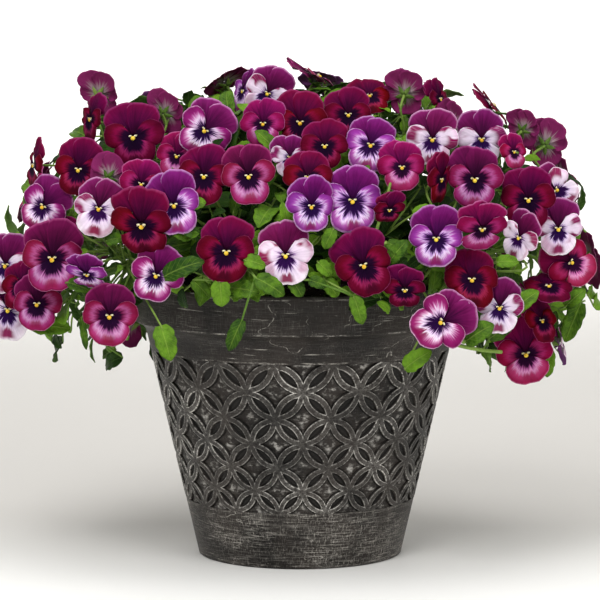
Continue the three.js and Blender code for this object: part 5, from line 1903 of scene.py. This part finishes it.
    def build(self) -> list[bpy.types.Object]:
        """Places everything and makes the pieces.

        Returns:
            The leafy stems and the sprays of blooms.
        """
        self.stems = [Stem(k + 1, np.array(tip, dtype=float), shoots, turns)
                      for k, (tip, shoots, turns) in enumerate(STEMS)]
        front = self.front_blooms()
        blooms = [*front, *self.rule_blooms(front)]
        for stem in self.stems:
            self.add_stem_leaves(stem)
        self.add_front_leaves()
        self.add_shown_stalks()
        for layer in LEAF_LAYERS:
            self.add_leaf_layer(layer, blooms)
        pieces = []
        for stem in self.stems:
            pieces.append(stem.build())
            for pale in (False, True):
                own = [b for b in blooms
                       if self.nearest_stem(b.eye) is stem and (b.kind in PALE_KINDS) == pale]
                if own:
                    pieces.append(Spray(stem, pale, own).build())
        return pieces


@dataclass
class Studio:
    """Pale floor that curves up into a backdrop, soft lights and the camera."""

    width: float = 30.0
    front: float = -14.0
    bend: float = 3.2
    rise: float = 6.0
    curve: float = 1.6
    camera_distance: float = 3.05
    camera_height: float = 0.571
    aim_height: float = 0.228
    lens: float = 205.3
    sensor: float = 36.0
    bend_steps: int = 16
    # Paper colours: the darker one is painted shade on the floor behind the pot, the lighter one painted
    # light in front and far back
    shaded_paper: str = "d6d3ce"
    lit_paper: str = "f7f6f3"
    air: float = 0.44

    def build_floor(self) -> None:
        """Makes the floor and the backdrop as one swept sheet, with light and shade painted into its colour.
        """
        profile = [(self.front, 0.0), (0.0, 0.0), (self.bend, 0.0)]
        for k in range(1, self.bend_steps + 1):
            a = k / self.bend_steps * math.pi / 2
            profile.append((self.bend + self.curve * math.sin(a), self.curve * (1 - math.cos(a))))
        profile.append((self.bend + self.curve, self.rise))
        points = [(x, y, z) for y, z in profile for x in (-self.width / 2, self.width / 2)]
        mesh = bpy.data.meshes.new("studio_floor")
        mesh.from_pydata(points, [], grid_faces(len(profile), 2, flip=True).tolist())
        mesh.polygons.foreach_set("use_smooth", [True] * len(mesh.polygons))
        sheet = Nodes("pale_paper", 0.9, specular=0.1)
        # Painted light and shade: the paper is lighter in front of the planter and far up the backdrop, and
        # darker on the floor behind the pot, standing in for the planter's shadow.
        back = sheet.parts(sheet.place())[1]
        lit = back.span(0.5, 3.6) | back.span(-0.22, 0.22, 1.0, 0.0)
        sheet.finish(sheet.mix(lit, self.shaded_paper, self.lit_paper))
        mesh.materials.append(sheet.material)
        floor = bpy.data.objects.new("studio_floor", mesh)
        bpy.context.scene.collection.objects.link(floor)

    def add_light(self, name: str, place: tuple[float, float, float], size: float, power: float,
                  target: tuple[float, float, float] = (0.0, 0.0, 0.228)) -> None:
        """Adds a square soft light.

        Args:
            name: Name of the light.
            place: Where it stands.
            size: Length of its side.
            power: Power in watts.
            target: Point that it looks at, which is the planter unless given.
        """
        data = bpy.data.lights.new(name, "AREA")
        data.shape = "SQUARE"
        data.size = size
        data.energy = power
        light = bpy.data.objects.new(name, data)
        light.location = place
        light.rotation_euler = to_euler(np.array(target) - np.array(place))
        bpy.context.scene.collection.objects.link(light)

    def build(self) -> None:
        """Sets up the floor, the lights, the surroundings and the camera."""
        self.build_floor()
        self.add_light("key", (-0.8, -2.5, 2.6), 1.5, 57.0)
        self.add_light("fill", (1.7, -2.3, 1.9), 1.8, 24.0)
        self.add_light("top", (0.0, -0.5, 3.2), 2.2, 44.0)
        self.add_light("backdrop", (0.0, 3.4, 2.8), 2.6, 74.0, (0.0, 5.4, 0.6))
        world = bpy.data.worlds.new("studio_air")
        world.use_nodes = True
        background = world.node_tree.nodes["Background"]
        background.inputs["Color"].default_value = colour("ffffff")
        background.inputs["Strength"].default_value = self.air
        scene = bpy.context.scene
        scene.world = world
        scene.view_settings.view_transform = "Standard"
        data = bpy.data.cameras.new("camera")
        data.lens = self.lens
        data.sensor_width = self.sensor
        camera = bpy.data.objects.new("camera", data)
        camera.location = (0.0, -self.camera_distance, self.camera_height)
        fall = self.aim_height - self.camera_height
        camera.rotation_euler = to_euler(np.array((0.0, self.camera_distance, fall)))
        scene.collection.objects.link(camera)
        scene.camera = camera


def to_euler(direction: np.ndarray) -> tuple[float, float, float]:
    """Turns that point an object's -Z along a direction, with its top up."""
    flat = math.hypot(direction[0], direction[1])
    pitch = math.atan2(direction[2], flat) + math.pi / 2
    return (pitch, 0.0, math.atan2(direction[1], direction[0]) - math.pi / 2)


def main() -> None:
    """Builds the planter and its studio, and reports each piece."""
    logging.basicConfig(level=logging.INFO, format="%(message)s")
    for finish in FINISHES:
        finish.make()
    Studio().build()
    pot = Pot()
    pot.build()
    PottingMix().build(pot)
    pieces = Planting().build()
    LOG.info("%d pieces of the plants", len(pieces))


if __name__ == "__main__":
    main()
